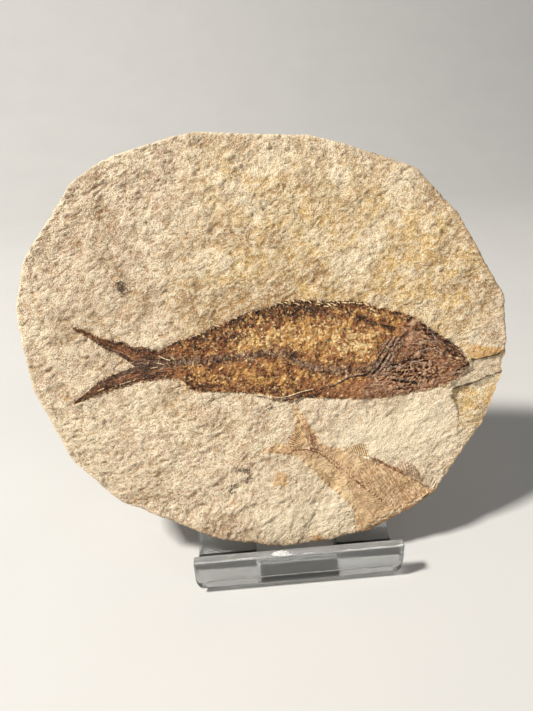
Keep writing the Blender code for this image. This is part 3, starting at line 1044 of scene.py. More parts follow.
LARGE = FishLines(
    back=((-41.8, 61.1), (-38.3, 60.7), (-34.5, 59.4), (-30.8, 61.2), (-24.3, 62.9), (-17.5, 65.5),
          (-8.6, 68.4), (-3.6, 69.2), (0.2, 70.6), (4.7, 70.9), (12.5, 70.1), (22.9, 69.2), (27.3, 67.3),
          (33, 65.8), (36.9, 64.1), (41, 61.3), (44.9, 58.4), (48.2, 55.9), (51, 53.2), (52.6, 49.6)),
    spine=((-41.8, 55.4), (-33.1, 56), (-20, 55.6), (-8.1, 56.4), (-3.7, 56.5), (1.4, 55.3),
           (5.7, 52.4), (13.2, 50.5), (21.8, 50.1), (30, 50.8), (40, 51.2), (52.8, 49)),
    belly=((-41.8, 50.5), (-39.9, 50.7), (-34.9, 51.2), (-31.6, 50.9), (-26.8, 47.8), (-20.8, 46.5),
           (-8.9, 45.3), (-4.8, 43.3), (-0.6, 42.3), (2.2, 42.2), (5.1, 43), (19.3, 41.6), (26.4, 41.4),
           (38, 42.5), (43.8, 43.4), (48.3, 45.1), (51, 47.4), (52.6, 48.5)),
    lobes=(
        (((-41.8, 61.1), (-44.4, 62.6), (-47.1, 63.1), (-50.3, 64.2), (-55.5, 66.9), (-57.9, 67.5)),
         ((-41.8, 55.4), (-44, 57.4), (-45.9, 58.6), (-49.5, 60.8), (-53.1, 63.7), (-57.3, 66.6))),
        (((-41.8, 50.5), (-44.1, 50), (-47.5, 49.3), (-51.7, 48.3), (-55.6, 47), (-59, 45.8)),
         ((-41.8, 55.4), (-43.7, 55), (-48.5, 53.5), (-52.2, 51.9), (-54.8, 49.8), (-59.2, 46.6))),
    ),
)
SMALL = FishLines(
    back=((8.2, 31.5), (9.2, 30), (11.3, 28.8), (15.5, 27.5), (22.5, 24.3), (26.7, 22.2), (31.5, 19.8),
          (36.0, 17.1), (40.1, 13.8)),
    spine=((5.3, 28.6), (8.6, 27.2), (12.4, 23.7), (19.2, 17.4), (23.6, 13.5), (30.2, 7.95)),
    belly=((1.9, 26.6), (3.9, 24.5), (6.6, 21.8), (9.2, 18.2), (12.5, 15.3), (15.2, 12.2), (16.8, 10),
           (17.2, 7.0), (17.3, 3.4)),
    lobes=(
        (((8.2, 31.5), (7, 33.5), (5.9, 35.3), (4.8, 37.4), (3.5, 39.7), (2, 42.1)),
         ((5.3, 28.6), (4.2, 31.4), (3.1, 34.2), (2.3, 36.4), (1.7, 38.8), (1.1, 41.7))),
        (((1.9, 26.6), (0.6, 27), (-1.6, 27.7), (-3.4, 28), (-5.6, 28.2), (-7.5, 28.3)),
         ((5.3, 28.6), (3.6, 29.2), (1.4, 29.9), (-1.4, 30.5), (-5, 30.3), (-7.5, 29))),
    ),
)


BACK_FIN = (flowing(((15.6, 27.6), (17.4, 26.9), (19, 26.2), (20.6, 25.7), (22, 25.2))),
            flowing(((14.9, 28.3), (16.4, 28.4), (17.9, 28.7), (19.6, 29.1), (21.2, 29))))
HIND_FIN = (flowing(((30.6, 20.2), (32, 19.6), (33.4, 18.9), (34.8, 18.2), (36, 17.6), (37.2, 16.8))),
            flowing(((29.6, 21.6), (30.8, 22.6), (32.2, 23.2), (33.6, 23), (34.9, 21.8), (36.3, 19.6))))
TAIL_FAN = (flowing(((3.9, 29.2), (4.4, 29.6), (4.8, 30.2), (5, 31)), 3),
            flowing(((-0.6, 30.4), (0.1, 31.8), (1, 33.6), (1.7, 34.8), (2.3, 35.8), (2.6, 36.8))))
FIN_BEDS = ((*BACK_FIN, 0.28), (*HIND_FIN, 0.3), (*TAIL_FAN, 0.85))


@dataclass
class StoneSlab:
    """The slab: a fine grid over the split front, a nipped rim and a rougher, coarser back."""

    outline: Points = (
        (64, 56), (64, 68.5), (61, 74), (52, 92), (41, 105), (35, 108),
        (27.5, 110.5), (19.5, 113.5), (11, 116), (3, 116.5), (-20.5, 118.5), (-26.5, 117.5),
        (-44, 113), (-48, 111), (-55, 106.5), (-69.5, 86.5), (-72.5, 74), (-72.5, 69),
        (-70, 51), (-61, 30.5), (-50.5, 19.5), (-48, 17.5), (-23, 5), (-14, 2.8),
        (-5, 1.2), (1, 1.2), (10, 1.8), (14, 2.8), (21, 3.5), (34.5, 9.5), (40.5, 13),
        (56, 32.5), (62.5, 46.5), (62, 48), (63.5, 51.5),
    )
    centre: tuple[float, float] = (-4.3, 59.0)
    front_cells: int = 256
    back_cells: int = 128
    bed: float = 0.5
    rim_noise: Noise = field(default_factory=lambda: Noise(83))

    MARKS = (
        (((-15.4, 24), (-13.7, 24.3), (-12.1, 23.3), (-11.8, 21.8), (-13.1, 20.5)), 0.7),
        (((-15.3, 20), (-17, 19.7), (-17.6, 18.5), (-17, 17.6)), 0.6),
        (((-6.7, 39.9), (-5.5, 40.7), (-4.1, 41.1)), 0.45),
        (((-8.4, 44.6), (-3.3, 43.7), (0.9, 42.9)), 0.45),
        (((-30, 50.9), (-28.7, 49.6), (-27.4, 48)), 0.3),
        (((-59.6, 67.4), (-57.9, 67.3)), 0.3),
    )
    STROKES = {
        "warm": ((1, 16, ((-14, 72), (15, 76), (40, 74))), (0.6, 14, ((-12, 104), (6, 100), (30, 95))),
                 (0.4, 14, ((46, 66), (52, 80))), (0.3, 12, ((-34, 40), (-16, 30))),
                 (-0.35, 16, ((-62, 60), (-45, 90))), (-0.3, 14, ((-40, 25), (0, 12)))),
        "ash": ((0.35, 8, ((25, 36), (40, 32))), (0.3, 12, ((-55, 70),))),
        "stain": ((0.65, 1.3, ((-17.2, 14.9),)), (0.75, 1.2, ((6.2, 2.6),)), (0.6, 1.6, ((-40.9, 112.5),)),
                  (0.7, 1.1, ((13.6, 113.6),)), (0.4, 4, ((-2, 104), (8, 100))),
                  (0.5, 2.4, ((-28, 62.5), (-8, 70), (20, 71.5))), (0.45, 3, ((5, 2), (14, 5), (30, 10)))),
        # Paler towards the lower right, lower left, lower middle and top: painted light that evens out the
        # lamp's falloff.
        "pale": ((0.1, 14, ((-10, 108), (30, 100))), (0.1, 12, ((-45, 30), (-5, 14))),
                 (0.5, 8, ((-4, 8), (10, 9), (13, 12)))),
        # A painted highlight along the top edge of the lens flake.
        "pale_break_and_highlight": ((0.85, 0.32, ((51.2, 53.6), (54.3, 55.5), (58, 54.2), (64, 53.7))),),
    }

    def reach(self, angle: Array) -> Array:
        """Distance from the centre to the outline at an angle."""
        corners = np.array(self.outline) - self.centre
        sides = [corners + (np.roll(corners, -1, axis=0) - corners) * s for s in np.linspace(0, 1, 60)[:-1]]
        points = np.vstack(sides)
        turn = np.arctan2(points[:, 1], points[:, 0])
        order = np.argsort(turn)
        return np.interp(angle, turn[order], np.hypot(*points.T)[order], period=math.tau) - 0.08

    def bevel(self, angle: Array) -> Array:
        """Width of the broken front edge at an angle, with nipped bites in it."""
        arc = angle * 60.0
        worn = np.abs(self.rim_noise.at(arc, arc * 0 + 3, 3.2, 3))
        bites = ease(self.rim_noise.at(arc, arc * 0 + 40, 5.0, 2), 0.42, 0.6)
        cut_fish = ease(np.abs(angle + math.radians(57.0)), math.radians(15.0), math.radians(12.0))
        return 0.35 + (0.75 * worn + 0.55 * bites) * (1 - cut_fish)

    def disc(self, cells: int, inset: Callable[[Array], Array]) -> tuple[Array, Array, Array]:
        """A square grid rounded to the outline.

        Args:
            cells: Cells along one side of the grid.
            inset: Distance in from the outline at an angle.

        Returns:
            The u and v of each grid point, and the indices of its border, anticlockwise.
        """
        side = np.linspace(-1.0, 1.0, cells + 1)
        s, t = np.meshgrid(side, side, indexing="ij")
        x, y = s * np.sqrt(1 - t * t / 2), t * np.sqrt(1 - s * s / 2)
        angle = np.arctan2(y, x)
        radius = np.hypot(x, y) * (self.reach(angle) - inset(angle))
        index = square(cells)
        border = np.concatenate([index[:-1, 0], index[-1, :-1], index[:0:-1, -1], index[0, :0:-1]])
        return (self.centre[0] + radius * np.cos(angle)).ravel(), \
            (self.centre[1] + radius * np.sin(angle)).ravel(), border

    def back_depth(self, u: Array, v: Array) -> Array:
        """How far the back's hollows lie in front of its highest points, in millimetres."""
        steps = self.rim_noise.at(u, v + 200, 24.0, 3)
        terraces = 0.5 * ease(steps, -0.25, -0.18) + 0.45 * ease(steps, 0.12, 0.18)
        rough = 0.16 * (1 + self.rim_noise.at(u + 60, v, 4.5, 3))
        return np.clip(1.0 - terraces + rough, 0.02, 1.4)

    def build(self) -> Piece:
        """Makes the slab's mesh."""
        u, v, border = self.disc(self.front_cells, self.bevel)
        height = STONE.height(u, v)
        bedded = np.zeros(len(u))
        for fish in (LARGE, SMALL):
            low, high = fish.outline.min(axis=0) - 2.0, fish.outline.max(axis=0) + 2.0
            near = (u > low[0]) & (u < high[0]) & (v > low[1]) & (v < high[1])
            inside = inside_distance(u[near], v[near], fish.outline)
            smoothed = 0.6 * ease(inside, 0.2, 1.6) * STONE.ripples(u[near], v[near])
            bedded[near] += self.bed * ease(inside, 0.0, 0.5) + smoothed
        ring_u, ring_v = u[border], v[border]
        angle = np.arctan2(ring_v - self.centre[1], ring_u - self.centre[0])
        reach, bevel = self.reach(angle), self.bevel(angle)
        arc = angle * 60.0
        rows = [(0.6, 0.25), (0.22, 0.62), (0.05, 1)]
        rings = [(bevel * inset, bevel * depth - height[border] * (1 - depth)) for inset, depth in rows]
        for depth in (1.7, 2.6, 3.5, 4.4, 5.3, 6.2, 7.0):
            hackle = self.rim_noise.at(arc, arc * 0 + depth * 1.3 + 120, 2.4, 3)
            rings.append((np.clip(0.28 + 0.42 * hackle, 0.0, 1.2), depth))
        rings.append((0.75 + 0.25 * np.abs(self.rim_noise.at(arc, arc * 0 + 9, 3.0)), 7.6))
        us, vs, depths = [u], [v], [bedded - height]
        for inset, depth in rings:
            us.append(self.centre[0] + (reach - inset) * np.cos(angle))
            vs.append(self.centre[1] + (reach - inset) * np.sin(angle))
            depths.append(np.broadcast_to(depth, np.shape(angle)))
        back_u, back_v, back_border = self.disc(self.back_cells, lambda turn: 1.7 + 0 * turn)
        us.append(back_u)
        vs.append(back_v)
        depths.append(SLAB.thickness - self.back_depth(back_u, back_v))
        u, v, depth = (np.concatenate(part) for part in (us, vs, depths))
        faces = self.faces(border, len(rings), back_border)
        values = self.painted(u, v, depth)
        slab = plain_object("stone_slab", SLAB.world(u, v, -depth), faces, StoneFinish(), values)
        slab.data.set_sharp_from_angle(angle=math.radians(65.0))
        return settle(slab, "tan_stone", "slab")

    def faces(self, border: Array, rings: int, back_border: Array) -> list[list[int]]:
        """Faces of the front, the rim's rows, the step down to the coarser back, and the back.

        Args:
            border: Indices round the front grid.
            rings: Rows of points round the rim.
            back_border: Indices round the back grid, counted from its own first point.

        Returns:
            The corner indices of each face.
        """
        faces = grid_faces(square(self.front_cells)).tolist()
        count = len(border)
        first = (self.front_cells + 1) ** 2
        loops = [border] + [first + count * k + np.arange(count) for k in range(rings)]
        for near, far in zip(loops, loops[1:]):
            strip = np.stack([near, far, np.roll(far, -1), np.roll(near, -1)], axis=-1)
            faces += strip.tolist()
        start = first + count * rings
        rim, back = loops[-1], start + back_border
        for k in range(len(back)):
            after = (k + 1) % len(back)
            left, middle, right = rim[2 * k], rim[2 * k + 1], rim[(2 * k + 2) % count]
            faces += [[left, back[k], middle], [middle, back[k], back[after]], [middle, back[after], right]]
        return faces + grid_faces(square(self.back_cells, start))[:, ::-1].tolist()

    def painted(self, u: Array, v: Array, depth: Array) -> dict[str, Array]:
        """Values that the stone's finish reads.

        Args:
            u: Places across the face.
            v: Places up the face.
            depth: Depth behind the flat front.

        Returns:
            The values by name.
        """
        laid = {name: strokes(u, v, marks) for name, marks in self.STROKES.items()}
        angle = np.arctan2(v - self.centre[1], u - self.centre[0])
        side = ease(np.hypot(u - self.centre[0], v - self.centre[1]) - self.reach(angle), -1.5, -0.3)
        side = side * (depth > -0.5)
        # How far the rim faces the upper left, where the key light stands: it drives the rim's painted
        # highlight there and painted shade on the far side.
        lit = ease(np.cos(angle - math.radians(140.0)), -0.35, 0.5)
        cut_fish = ease(np.abs(angle + math.radians(57.0)), math.radians(14.0), math.radians(11.0))
        front = (depth < 4.0).astype(float)
        gone = (flake.depth(u, v) / flake.top for flake in FLAKES)
        lens, tongue, spall = (front * ease(depths, 0.1, 0.5) for depths in gone)
        ring = np.hypot(u + 3.5, v - 21.0) + 0.9 * self.rim_noise.at(u, v, 1.8, 2)
        orange = 0.62 * fall(ring, 1.8, 2.8)
        orange += 0.5 * bell(ring, 0.4, 2.2) * ease(u - v, -25.5, -22.5)
        soot = 1.2 - 1.1 * np.hypot((u + 43.3) / 1.6, (v - 77.2 + 0.35 * (u + 43.3)) / 2.1)
        for mark, reach in self.MARKS:
            soot = np.maximum(soot, reach - np.abs(line_distance(u, v, np.array(mark))[0]))
        tint = sum(share * ease(inside_distance(u, v, np.vstack([roots, tips[::-1]])), -0.5, 0.4)
                   for roots, tips, share in FIN_BEDS)
        # Where the cracks and the spall's edge run: the finish paints a shadow line along them.
        cracks = [line_distance(u, v, np.array(line)) for line in (UPPER_CRACK, LOWER_CRACK, SPALL_EDGE)]
        gaps = np.stack([gap for gap, _ in cracks]) / (1 + 1.1 * self.rim_noise.at(u + 7, v, 2.6, 3))
        reach = np.stack([
            ease(cracks[0][1], 0.0, 0.06),
            ease(cracks[1][1], 0.0, 0.1),
            0.75 * fall(cracks[2][1], 0.6, 0.98),
        ])
        pick = (np.abs(gaps).argmin(axis=0), np.arange(len(u)))
        # More painted light over the lower right, evening out the lamp's falloff.
        pale = laid["pale"] + 0.6 * brush(u, v, ((20, 26), (42, 33)), 12) * (1 - spall)
        return {
            # Height of the fine relief, which the finish turns into painted highlight on crests and painted
            # shade in hollows.
            "relief": np.clip(STONE.ripples(u, v) / 0.26, -1.2, 1.2) * (1 - side),
            "pale": pale * front,
            "warm": laid["warm"] + 1.3 * spall + 1.1 * lens - 0.5 * tongue,
            "ash": laid["ash"] + 0.7 * tongue,
            "stain": (laid["stain"] + orange + 0.7 * lens + 0.25 * spall) * front,
            "soot": np.clip(soot, -1.5, 1.0) - 3 * side - 3 * (1 - front),
            "tint": tint * front,
            "crack": np.clip(gaps[pick], -3.0, 3.0),
            "cracked": reach[pick] * (depth < 2.5),
            "pale_break_and_highlight": side * (0.1 + 0.45 * lit) + laid["pale_break_and_highlight"],
            "dark_rim_and_shade": side * 0.45 * (1 - lit) + 0.5 * cut_fish * ease(side, 0.0, 0.5),
        }


# The fossils


@dataclass
class FishFilm:
    """A fossil fish as a thin skin on the stone: how a fish of either size is meshed and painted."""

    lines: FishLines
    title: str
    slot: str
    wears: Finish
    stations: int
    across: int
    lobe_stations: int
    ragged: float
    seed: int
    thickness: float = 1.3

    def __post_init__(self) -> None:
        """Draws the noise that wears the fish's edges and surface."""
        self.noise = Noise(self.seed)

    def relief(self, u: Array, v: Array, along: Array, across: Array, edge: Array) -> Array:
        """Height of the fossil over the stone, which each fish gives in its own way."""
        raise NotImplementedError

    def painted(self, u: Array, v: Array, along: Array, across: Array, edge: Array) -> dict[str, Array]:
        """Values that the fish's finish reads, which each fish gives in its own way."""
        raise NotImplementedError

    def height(self, u: Array, v: Array, along: Array, across: Array) -> Pair:
        """Height of the skin over the flat face, and its distance from the outline."""
        edge = inside_distance(u, v, self.lines.outline)
        kept = 1.0 - 0.6 * ease(edge, 0.2, 1.6)
        ground = STONE.broad(u, v) + STONE.ripples(u, v) * kept
        return ground + self.relief(u, v, along, across, edge), edge

    def worn(self, along: Array, side: float) -> Array:
        """How far the outline is worn back, in millimetres, along one side."""
        at = along * self.lines.length
        return self.ragged * np.clip(0.5 + self.noise.at(at, at * 0 + side * 31, 1.3, 3), 0.0, 1.6)

    def build(self) -> Piece:
        """Meshes the body and both tail lobes as one closed skin.

        Returns:
            The skin.
        """
        k = self.across
        t, a = np.meshgrid(np.linspace(0, 1, self.stations), np.linspace(-1, 1, 2 * k + 1), indexing="ij")
        half = np.maximum(self.lines.half_depth(t, a), 0.3)
        wear = np.where(a >= 0, self.worn(t, 1.0), self.worn(t, -1.0)) * ease(t, 0.0, 0.02)
        u, v = self.lines.place(t, a * (1 - np.minimum(wear / half, 0.4)))
        index = np.arange(u.size).reshape(u.shape)
        parts = [(u.ravel(), v.ravel(), t.ravel(), a.ravel())]
        lobe_index = []
        total = u.size
        for which, sign in ((0, 1), (1, -1)):
            s, b = np.meshgrid(np.linspace(0, 1, self.lobe_stations)[1:], np.linspace(0, 1, k + 1),
                               indexing="ij")
            lobe_u, lobe_v = self.lines.lobe(which, s, b)
            parts.append((lobe_u.ravel(), lobe_v.ravel(), -s.ravel(), sign * b.ravel()))
            root = index[0, k:] if sign > 0 else index[0, k::-1]
            rows = np.vstack([root, total + np.arange(lobe_u.size).reshape(lobe_u.shape)])
            lobe_index.append(rows)
            total += lobe_u.size
        u, v, t, a = (np.concatenate([part[n] for part in parts]) for n in range(4))
        height, edge = self.height(u, v, t, a)
        faces = grid_faces(index).tolist()
        upper, lower = lobe_index
        for rows, flip in ((upper, False), (lower, True)):
            quad = [rows[1:, :-1], rows[:-1, :-1], rows[:-1, 1:], rows[1:, 1:]]
            quad = np.stack(quad, axis=-1).reshape(-1, 4)
            faces += (quad[:, ::-1] if flip else quad).tolist()
        loop = np.concatenate([
            index[:, 0], index[::-1, -1], upper[1:, -1], upper[:0:-1, 0], [index[0, k]], lower[1:, 0],
            lower[:0:-1, -1],
        ])
        under = {int(corner): total + n for n, corner in enumerate(loop)}
        below = height[loop] - self.thickness
        faces += self.shut(index, upper, lower, loop, under)
        height = np.concatenate([height, below])
        values = self.painted(u, v, t, a, edge)
        values = {title: np.concatenate([painted, painted[loop]]) for title, painted in values.items()}
        u, v = np.concatenate([u, u[loop]]), np.concatenate([v, v[loop]])
        skin = plain_object(f"{self.title}_skin", SLAB.world(u, v, height), faces, self.wears, values)
        skin.data.set_sharp_from_angle(angle=math.radians(70.0))
        return settle(skin, self.slot, self.title)

    def piece(self, tree: GeometryTree, paths: Paths, name: str, tone: BoneTone,
              **sizes: float) -> Piece:
        """Grows bones of one tone along paths, as a piece of this fish."""
        return tree.grow(paths, f"{self.title}_{name}", self.slot, BoneFinish(tone), **sizes)

    @staticmethod
    def shut(index: Array, upper: Array, lower: Array, loop: Array, under: dict[int, int]) -> list[list[int]]:
        """Faces of the skin's wall and underside.

        Args:
            index: Indices of the body's grid.
            upper: Indices of the upper lobe's grid.
            lower: Indices of the lower lobe's grid.
            loop: Indices round the skin's long edges, anticlockwise.
            under: The index under each corner of the loop.

        Returns:
            The corner indices of each face.
        """
        ends = (index[-1], upper[-1, ::-1], lower[-1])
        tips = {(int(end[0]), int(end[-1])): end for end in ends}
        faces = []
        for here, after in zip(loop, np.roll(loop, -1)):
            here, after = int(here), int(after)
            wide = tips.get((here, after))
            top = [int(c) for c in wide[::-1]] if wide is not None else [after, here]
            faces.append([top[-1], under[here], under[after]] + top[:-1])
        body = [(under[int(row[0])], under[int(row[-1])]) for row in index]
        fork = under[int(upper[0, 0])]
        for n, ((low, high), (next_low, next_high)) in enumerate(zip(body, body[1:])):
            root = [low, fork, high] if n == 0 else [low, high]
            faces.append([*root, next_high, next_low])
        for rows, flip in ((upper, False), (lower, True)):
            pairs = [(under[int(row[0])], under[int(row[-1])]) for row in rows]
            for (low, high), (next_low, next_high) in zip(pairs, pairs[1:]):
                face = [low, next_low, next_high, high]
                faces.append(face[::-1] if flip else face)
        return faces

    def on_skin(self, along: Array, across: Array, proud: float) -> Array:
        """Points on the body's skin, in metres, this far proud of it."""
        along, across = np.broadcast_arrays(np.asarray(along, float), np.asarray(across, float))
        u, v = self.lines.place(along, across)
        return SLAB.world(u, v, self.height(u, v, along, across)[0] + proud)

    def on_lobe(self, which: int, along: Array, across: float, proud: float) -> Array:
        """Points on a tail lobe's skin, in metres, this far proud of it."""
        u, v = self.lines.lobe(which, along, across)
        return SLAB.world(u, v, self.height(u, v, -along, across)[0] + proud)

    def over(self, line: Points, proud: float, steps: int = 6) -> Array:
        """Points over the skin along a given line, in metres."""
        path = flowing(line, steps)
        u, v = path[:, 0], path[:, 1]
        gap, along = line_distance(u, v, self.lines.mid)
        edge = inside_distance(u, v, self.lines.outline)
        half = self.lines.half_depth(along, gap)
        skin = self.height(u, v, along, np.clip(gap / half, -1, 1))[0]
        return SLAB.world(u, v, np.where(edge > 0.1, skin, STONE.relief(u, v)) + proud)


@dataclass
class LargeFish(FishFilm):
    """The large fish: a mottled body, a knobbed backbone and a crumpled head."""

    lines: FishLines = field(default_factory=lambda: LARGE)
    title: str = "large_fish"
    slot: str = "dark_fossil"
    wears: Finish = DarkFossilFinish()
    stations: int = 480
    across: int = 84
    lobe_stations: int = 64
    ragged: float = 0.22
    seed: int = 61

    CLEFTS = (
        (((37.4, 60.2), (39.6, 59.9), (42.2, 59.8)), 0.3), (((40.2, 58.7), (42.6, 58.6)), 0.25),
        (((35.4, 52.2), (36.8, 53.4), (38.8, 54.7), (41, 55.2)), 0.28),
        (((45.8, 56), (47.2, 55.6), (49, 56.2)), 0.45), (((44.4, 53.4), (46.2, 53.2), (48, 53.8)), 0.4),
        (((48, 52.2), (50.2, 51.8)), 0.35), (((30, 50.9), (31.8, 50.6), (33.6, 50.9)), 0.3),
        (((33.4, 51.5), (34.8, 51.6), (36.2, 52.1)), 0.35), (((36.6, 52), (38.2, 51.6), (39.4, 52)), 0.3),
        (((39, 49.3), (40.4, 48.9), (40.8, 49.8)), 0.35), (((34.4, 49.2), (35.4, 49.5)), 0.35),
        (((31.2, 48.7), (33.2, 48.4)), 0.3), (((36.6, 48), (38.4, 48.4)), 0.25),
        (((31, 46.1), (33, 45.6), (35, 45.5)), 0.35), (((35, 45), (37.6, 44.9)), 0.4),
        (((32, 43.9), (34, 43.5), (35.8, 43.9)), 0.3), (((37.4, 46.3), (39.4, 46), (41.6, 46.3)), 0.25),
        (((48.3, 46.6), (49.4, 47.8), (50.4, 48.7)), 0.35), (((50.2, 48.6), (52.4, 49.3)), 0.3),
        (((42.6, 47.4), (43.5, 48.7)), 0.25), (((28, 62.1), (29.8, 61.6), (31.8, 61)), 0.35),
        (((22.4, 64.3), (25.2, 63.2), (28, 62.1)), 0.25), (((28.1, 52), (26.6, 50.2), (24.6, 48.5)), 0.32),
        (((30.2, 54.2), (28.6, 52.8), (27, 51.3)), 0.26), (((28.6, 56.9), (27, 55.4), (26, 53.6)), 0.2),
        (((31.6, 56.6), (29.6, 55.6), (27.6, 53.8), (26.2, 52.2), (25, 50.6)), 0.28),
    )
    STROKES = {
        "dark": (
            (0.42, 2.6, ((-24, 60.8), (-12, 64), (-2, 66.6), (8, 67.5))),
            (0.4, 1.7, ((-1, 69), (5.4, 69), (10.9, 67.5), (16.5, 66.6), (22, 64.8))),
            (0.4, 0.9, ((21.5, 64.6), (27.1, 62.3), (31, 61))), (0.3, 2.2, ((-26, 50), (-20, 49))),
            (0.3, 1.8, ((-6, 46), (3, 44.5), (8, 44.4))), (0.8, 0.8, ((2.2, 55.2),)),
            (0.12, 1.7, ((4.2, 51.4), (9.8, 50.6), (16.9, 50), (24, 49.9))),
            (0.1, 3.0, ((-30, 50), (-12, 47.5), (8, 45))),
            (0.22, 1.6, ((42.4, 59.7), (46, 57.2), (48.7, 54.2), (50.6, 51.8))),
            (0.5, 0.7, ((-50.1, 50), (-44.6, 50.7), (-39, 51.2), (-34.8, 53.1))),
            (-0.3, 1.2, ((30.8, 42.9), (42.4, 44.3), (47, 46.4))), (-0.3, 4.5, ((21.5, 57),)),
            (-0.15, 3.0, ((-8, 60.5), (4, 61.5), (12, 60.5))),
        ),
        "gold": ((0.4, 5.0, ((-10, 60), (4, 61.5), (14, 60.5), (24, 57))),
                 (0.3, 3.0, ((-28, 51.5), (-16, 50), (-4, 49.5), (6, 47))),
                 (-0.35, 2.5, ((-30, 48), (-10, 46), (10, 44))), (-0.3, 6, ((-30, 58), (-16, 58))),
                 (-0.2, 5, ((18, 57), (23, 57)))),
        "straw": ((0.5, 4.0, ((18, 57.5), (23, 57.5))), (0.3, 4.0, ((-12, 60.5), (4, 60.5), (12, 61))),
                  (0.6, 0.8, ((-4.2, 59.3),)), (0.5, 0.5, ((-33, 57.4), (-30.3, 56.4), (-27.7, 55.4)))),
        "rust": ((0.6, 1.3, ((30.8, 42.9), (36.6, 43.1), (42.4, 44.3), (47, 46.4))),
                 (0.25, 4, ((31, 62), (40, 58)))),
        "bare": ((1, 0.5, ((-28.3, 49.5), (-30.2, 50.7))), (1, 0.35, ((-9.5, 44.9), (-4.5, 44.2)))),
    }
    RIDGES = (
        ((33.4, 57), (31.4, 56.8), (29.2, 55.4), (27.4, 53.2), (25.9, 51.4), (24.2, 49)),
        ((33.5, 55.9), (31, 54.7), (29.2, 52.6), (27.9, 51.2), (26, 49.4)),
        ((30.8, 58.7), (28.6, 56.7), (26.8, 55), (25.6, 53.2)),
        ((37.4, 56.3), (39.6, 56.9), (42.2, 56.5), (45, 56.1)),
        ((38, 53.7), (40.4, 54.5), (43, 54.6)), ((30.2, 50), (32, 50.1), (33.8, 50.2)),
        ((9.1, 45.3), (13.8, 46.5), (17.3, 48.1), (20.2, 48.6), (22.7, 48.9)),
        ((44, 46.4), (48.7, 47.2), (50.5, 48.1), (52.2, 48.8)), ((30, 46.9), (33.6, 46.4), (36, 45.9)),
        ((34, 50.3), (36.4, 51.2), (38.6, 50.8), (39.6, 50.2)), ((40, 61), (42.5, 58.5), (44, 55.5)),
        ((-8, 44.5), (-4, 43.7), (0, 43.4), (4, 44.4)), ((-2.6, 42.7), (1.6, 42.7), (5.2, 43.4)),
    )
    PALE_RAYS = (
        ((-4.5, 44.2), (-0.5, 43.9), (3.8, 44.9), (7.4, 45.6)), ((-11, 45.1), (-7, 44.8)),
        ((-34.8, 57.9), (-33.2, 57), (-31.6, 56.4)), ((-35.6, 56), (-33.4, 55.4)),
        ((-31.4, 57.6), (-30.4, 56.4)), ((-46, 50.7), (-43, 51.4)), ((-52, 49.4), (-49.4, 50.2)),
        ((-37.2, 54.6), (-35.2, 54.8)),
    )

    def gill(self, u: Array, v: Array) -> Array:
        """Distance behind the gill cover's slanting edge, negative in front of it on the body."""
        edge = ((37, 68), (33.2, 60.5), (30.4, 57), (28, 53), (25.2, 49.5), (22, 46.5), (20, 40))
        return line_distance(u, v, flowing(edge, 3))[0]

    def gill_lines(self, gill: Array, v: Array) -> Array:
        """Close ridges along the middle of the gill cover's edge, from -1 to 1."""
        shown = ease(v, 46.5, 50.0) * fall(v, 57.0, 60.0)
        return np.cos(math.tau * gill / 1.15) * bell(gill, 1.9, 0.4) * shown

    def clefts(self, u: Array, v: Array) -> Array:
        """Dark clefts between the bones of the head and shoulder: 1 in one, 0 away from them."""
        deep = np.zeros(np.shape(u))
        near = u > 21.0
        for line, width in self.CLEFTS:
            deep[near] = np.maximum(deep[near], brush(u[near], v[near], line, width))
        return deep

    def head(self, u: Array, v: Array) -> Array:
        """1 on the head, fading over the gill cover's edge."""
        return ease(self.gill(u, v) + 0.8 * self.noise.at(u + 5, v, 2.5, 2), -0.8, 1.8)

    def folds(self, u: Array, v: Array, along: Array, across: Array) -> Array:
        """Crumpling of the head's bones: crests and clefts that run to the snout, deepest round the eye."""
        bend = 1.2 * self.noise.at(u + 11, v, 4.5, 2)
        x, y = (along * self.lines.length + bend) / 2.2, across * 8.5 + bend
        fine = self.noise.creased(x, y, 1.2) - self.noise.creased(x + 37, y + 19, 1.35)
        x = u / 1.3
        pitted = self.noise.creased(x + bend, v + 50, 1.0) - self.noise.creased(x, v + 80 + bend, 1.3)
        eye = brush(u, v, ((30.5, 47.5), (38.0, 48.5)), 5.0)
        return 0.35 * fine * (1 - 0.5 * eye) + 0.75 * pitted * eye

    def cleft(self, u: Array, v: Array) -> Pair:
        """Signed distance to the crack along the belly, and how open it is there."""
        gap, share = line_distance(u, v, flowing(((8.6, 44.7), (11, 45.9), (13.8, 46.2), (17.3, 47.9),
                                                  (20, 48.3), (22.9, 48.5), (24.6, 49.6)), 4))
        return gap, ease(share, 0.0, 0.15) * fall(share, 0.85, 1.0)

    def tail(self, along: Array) -> Array:
        """1 on the tail, fading into the body."""
        return fall(along, 0.05, 0.18)

    def fibre(self, along: Array, across: Array) -> Array:
        """Streaks that run down the tail's stalk and out along its lobes."""
        reach = np.where(along < 0, along * 17.0, along * self.lines.length)
        return self.noise.at(reach / 5.5, across * 7.0 + 60, 1.0, 3, 0.6)

    def muscle(self, u: Array, v: Array, to_back: Array) -> Array:
        """Short steep strokes below the back."""
        return self.noise.at((u + 0.35 * v) / 0.75, v / 3.2 + 90, 1.0, 2, 0.6) * fall(to_back, 2.0, 5.5)

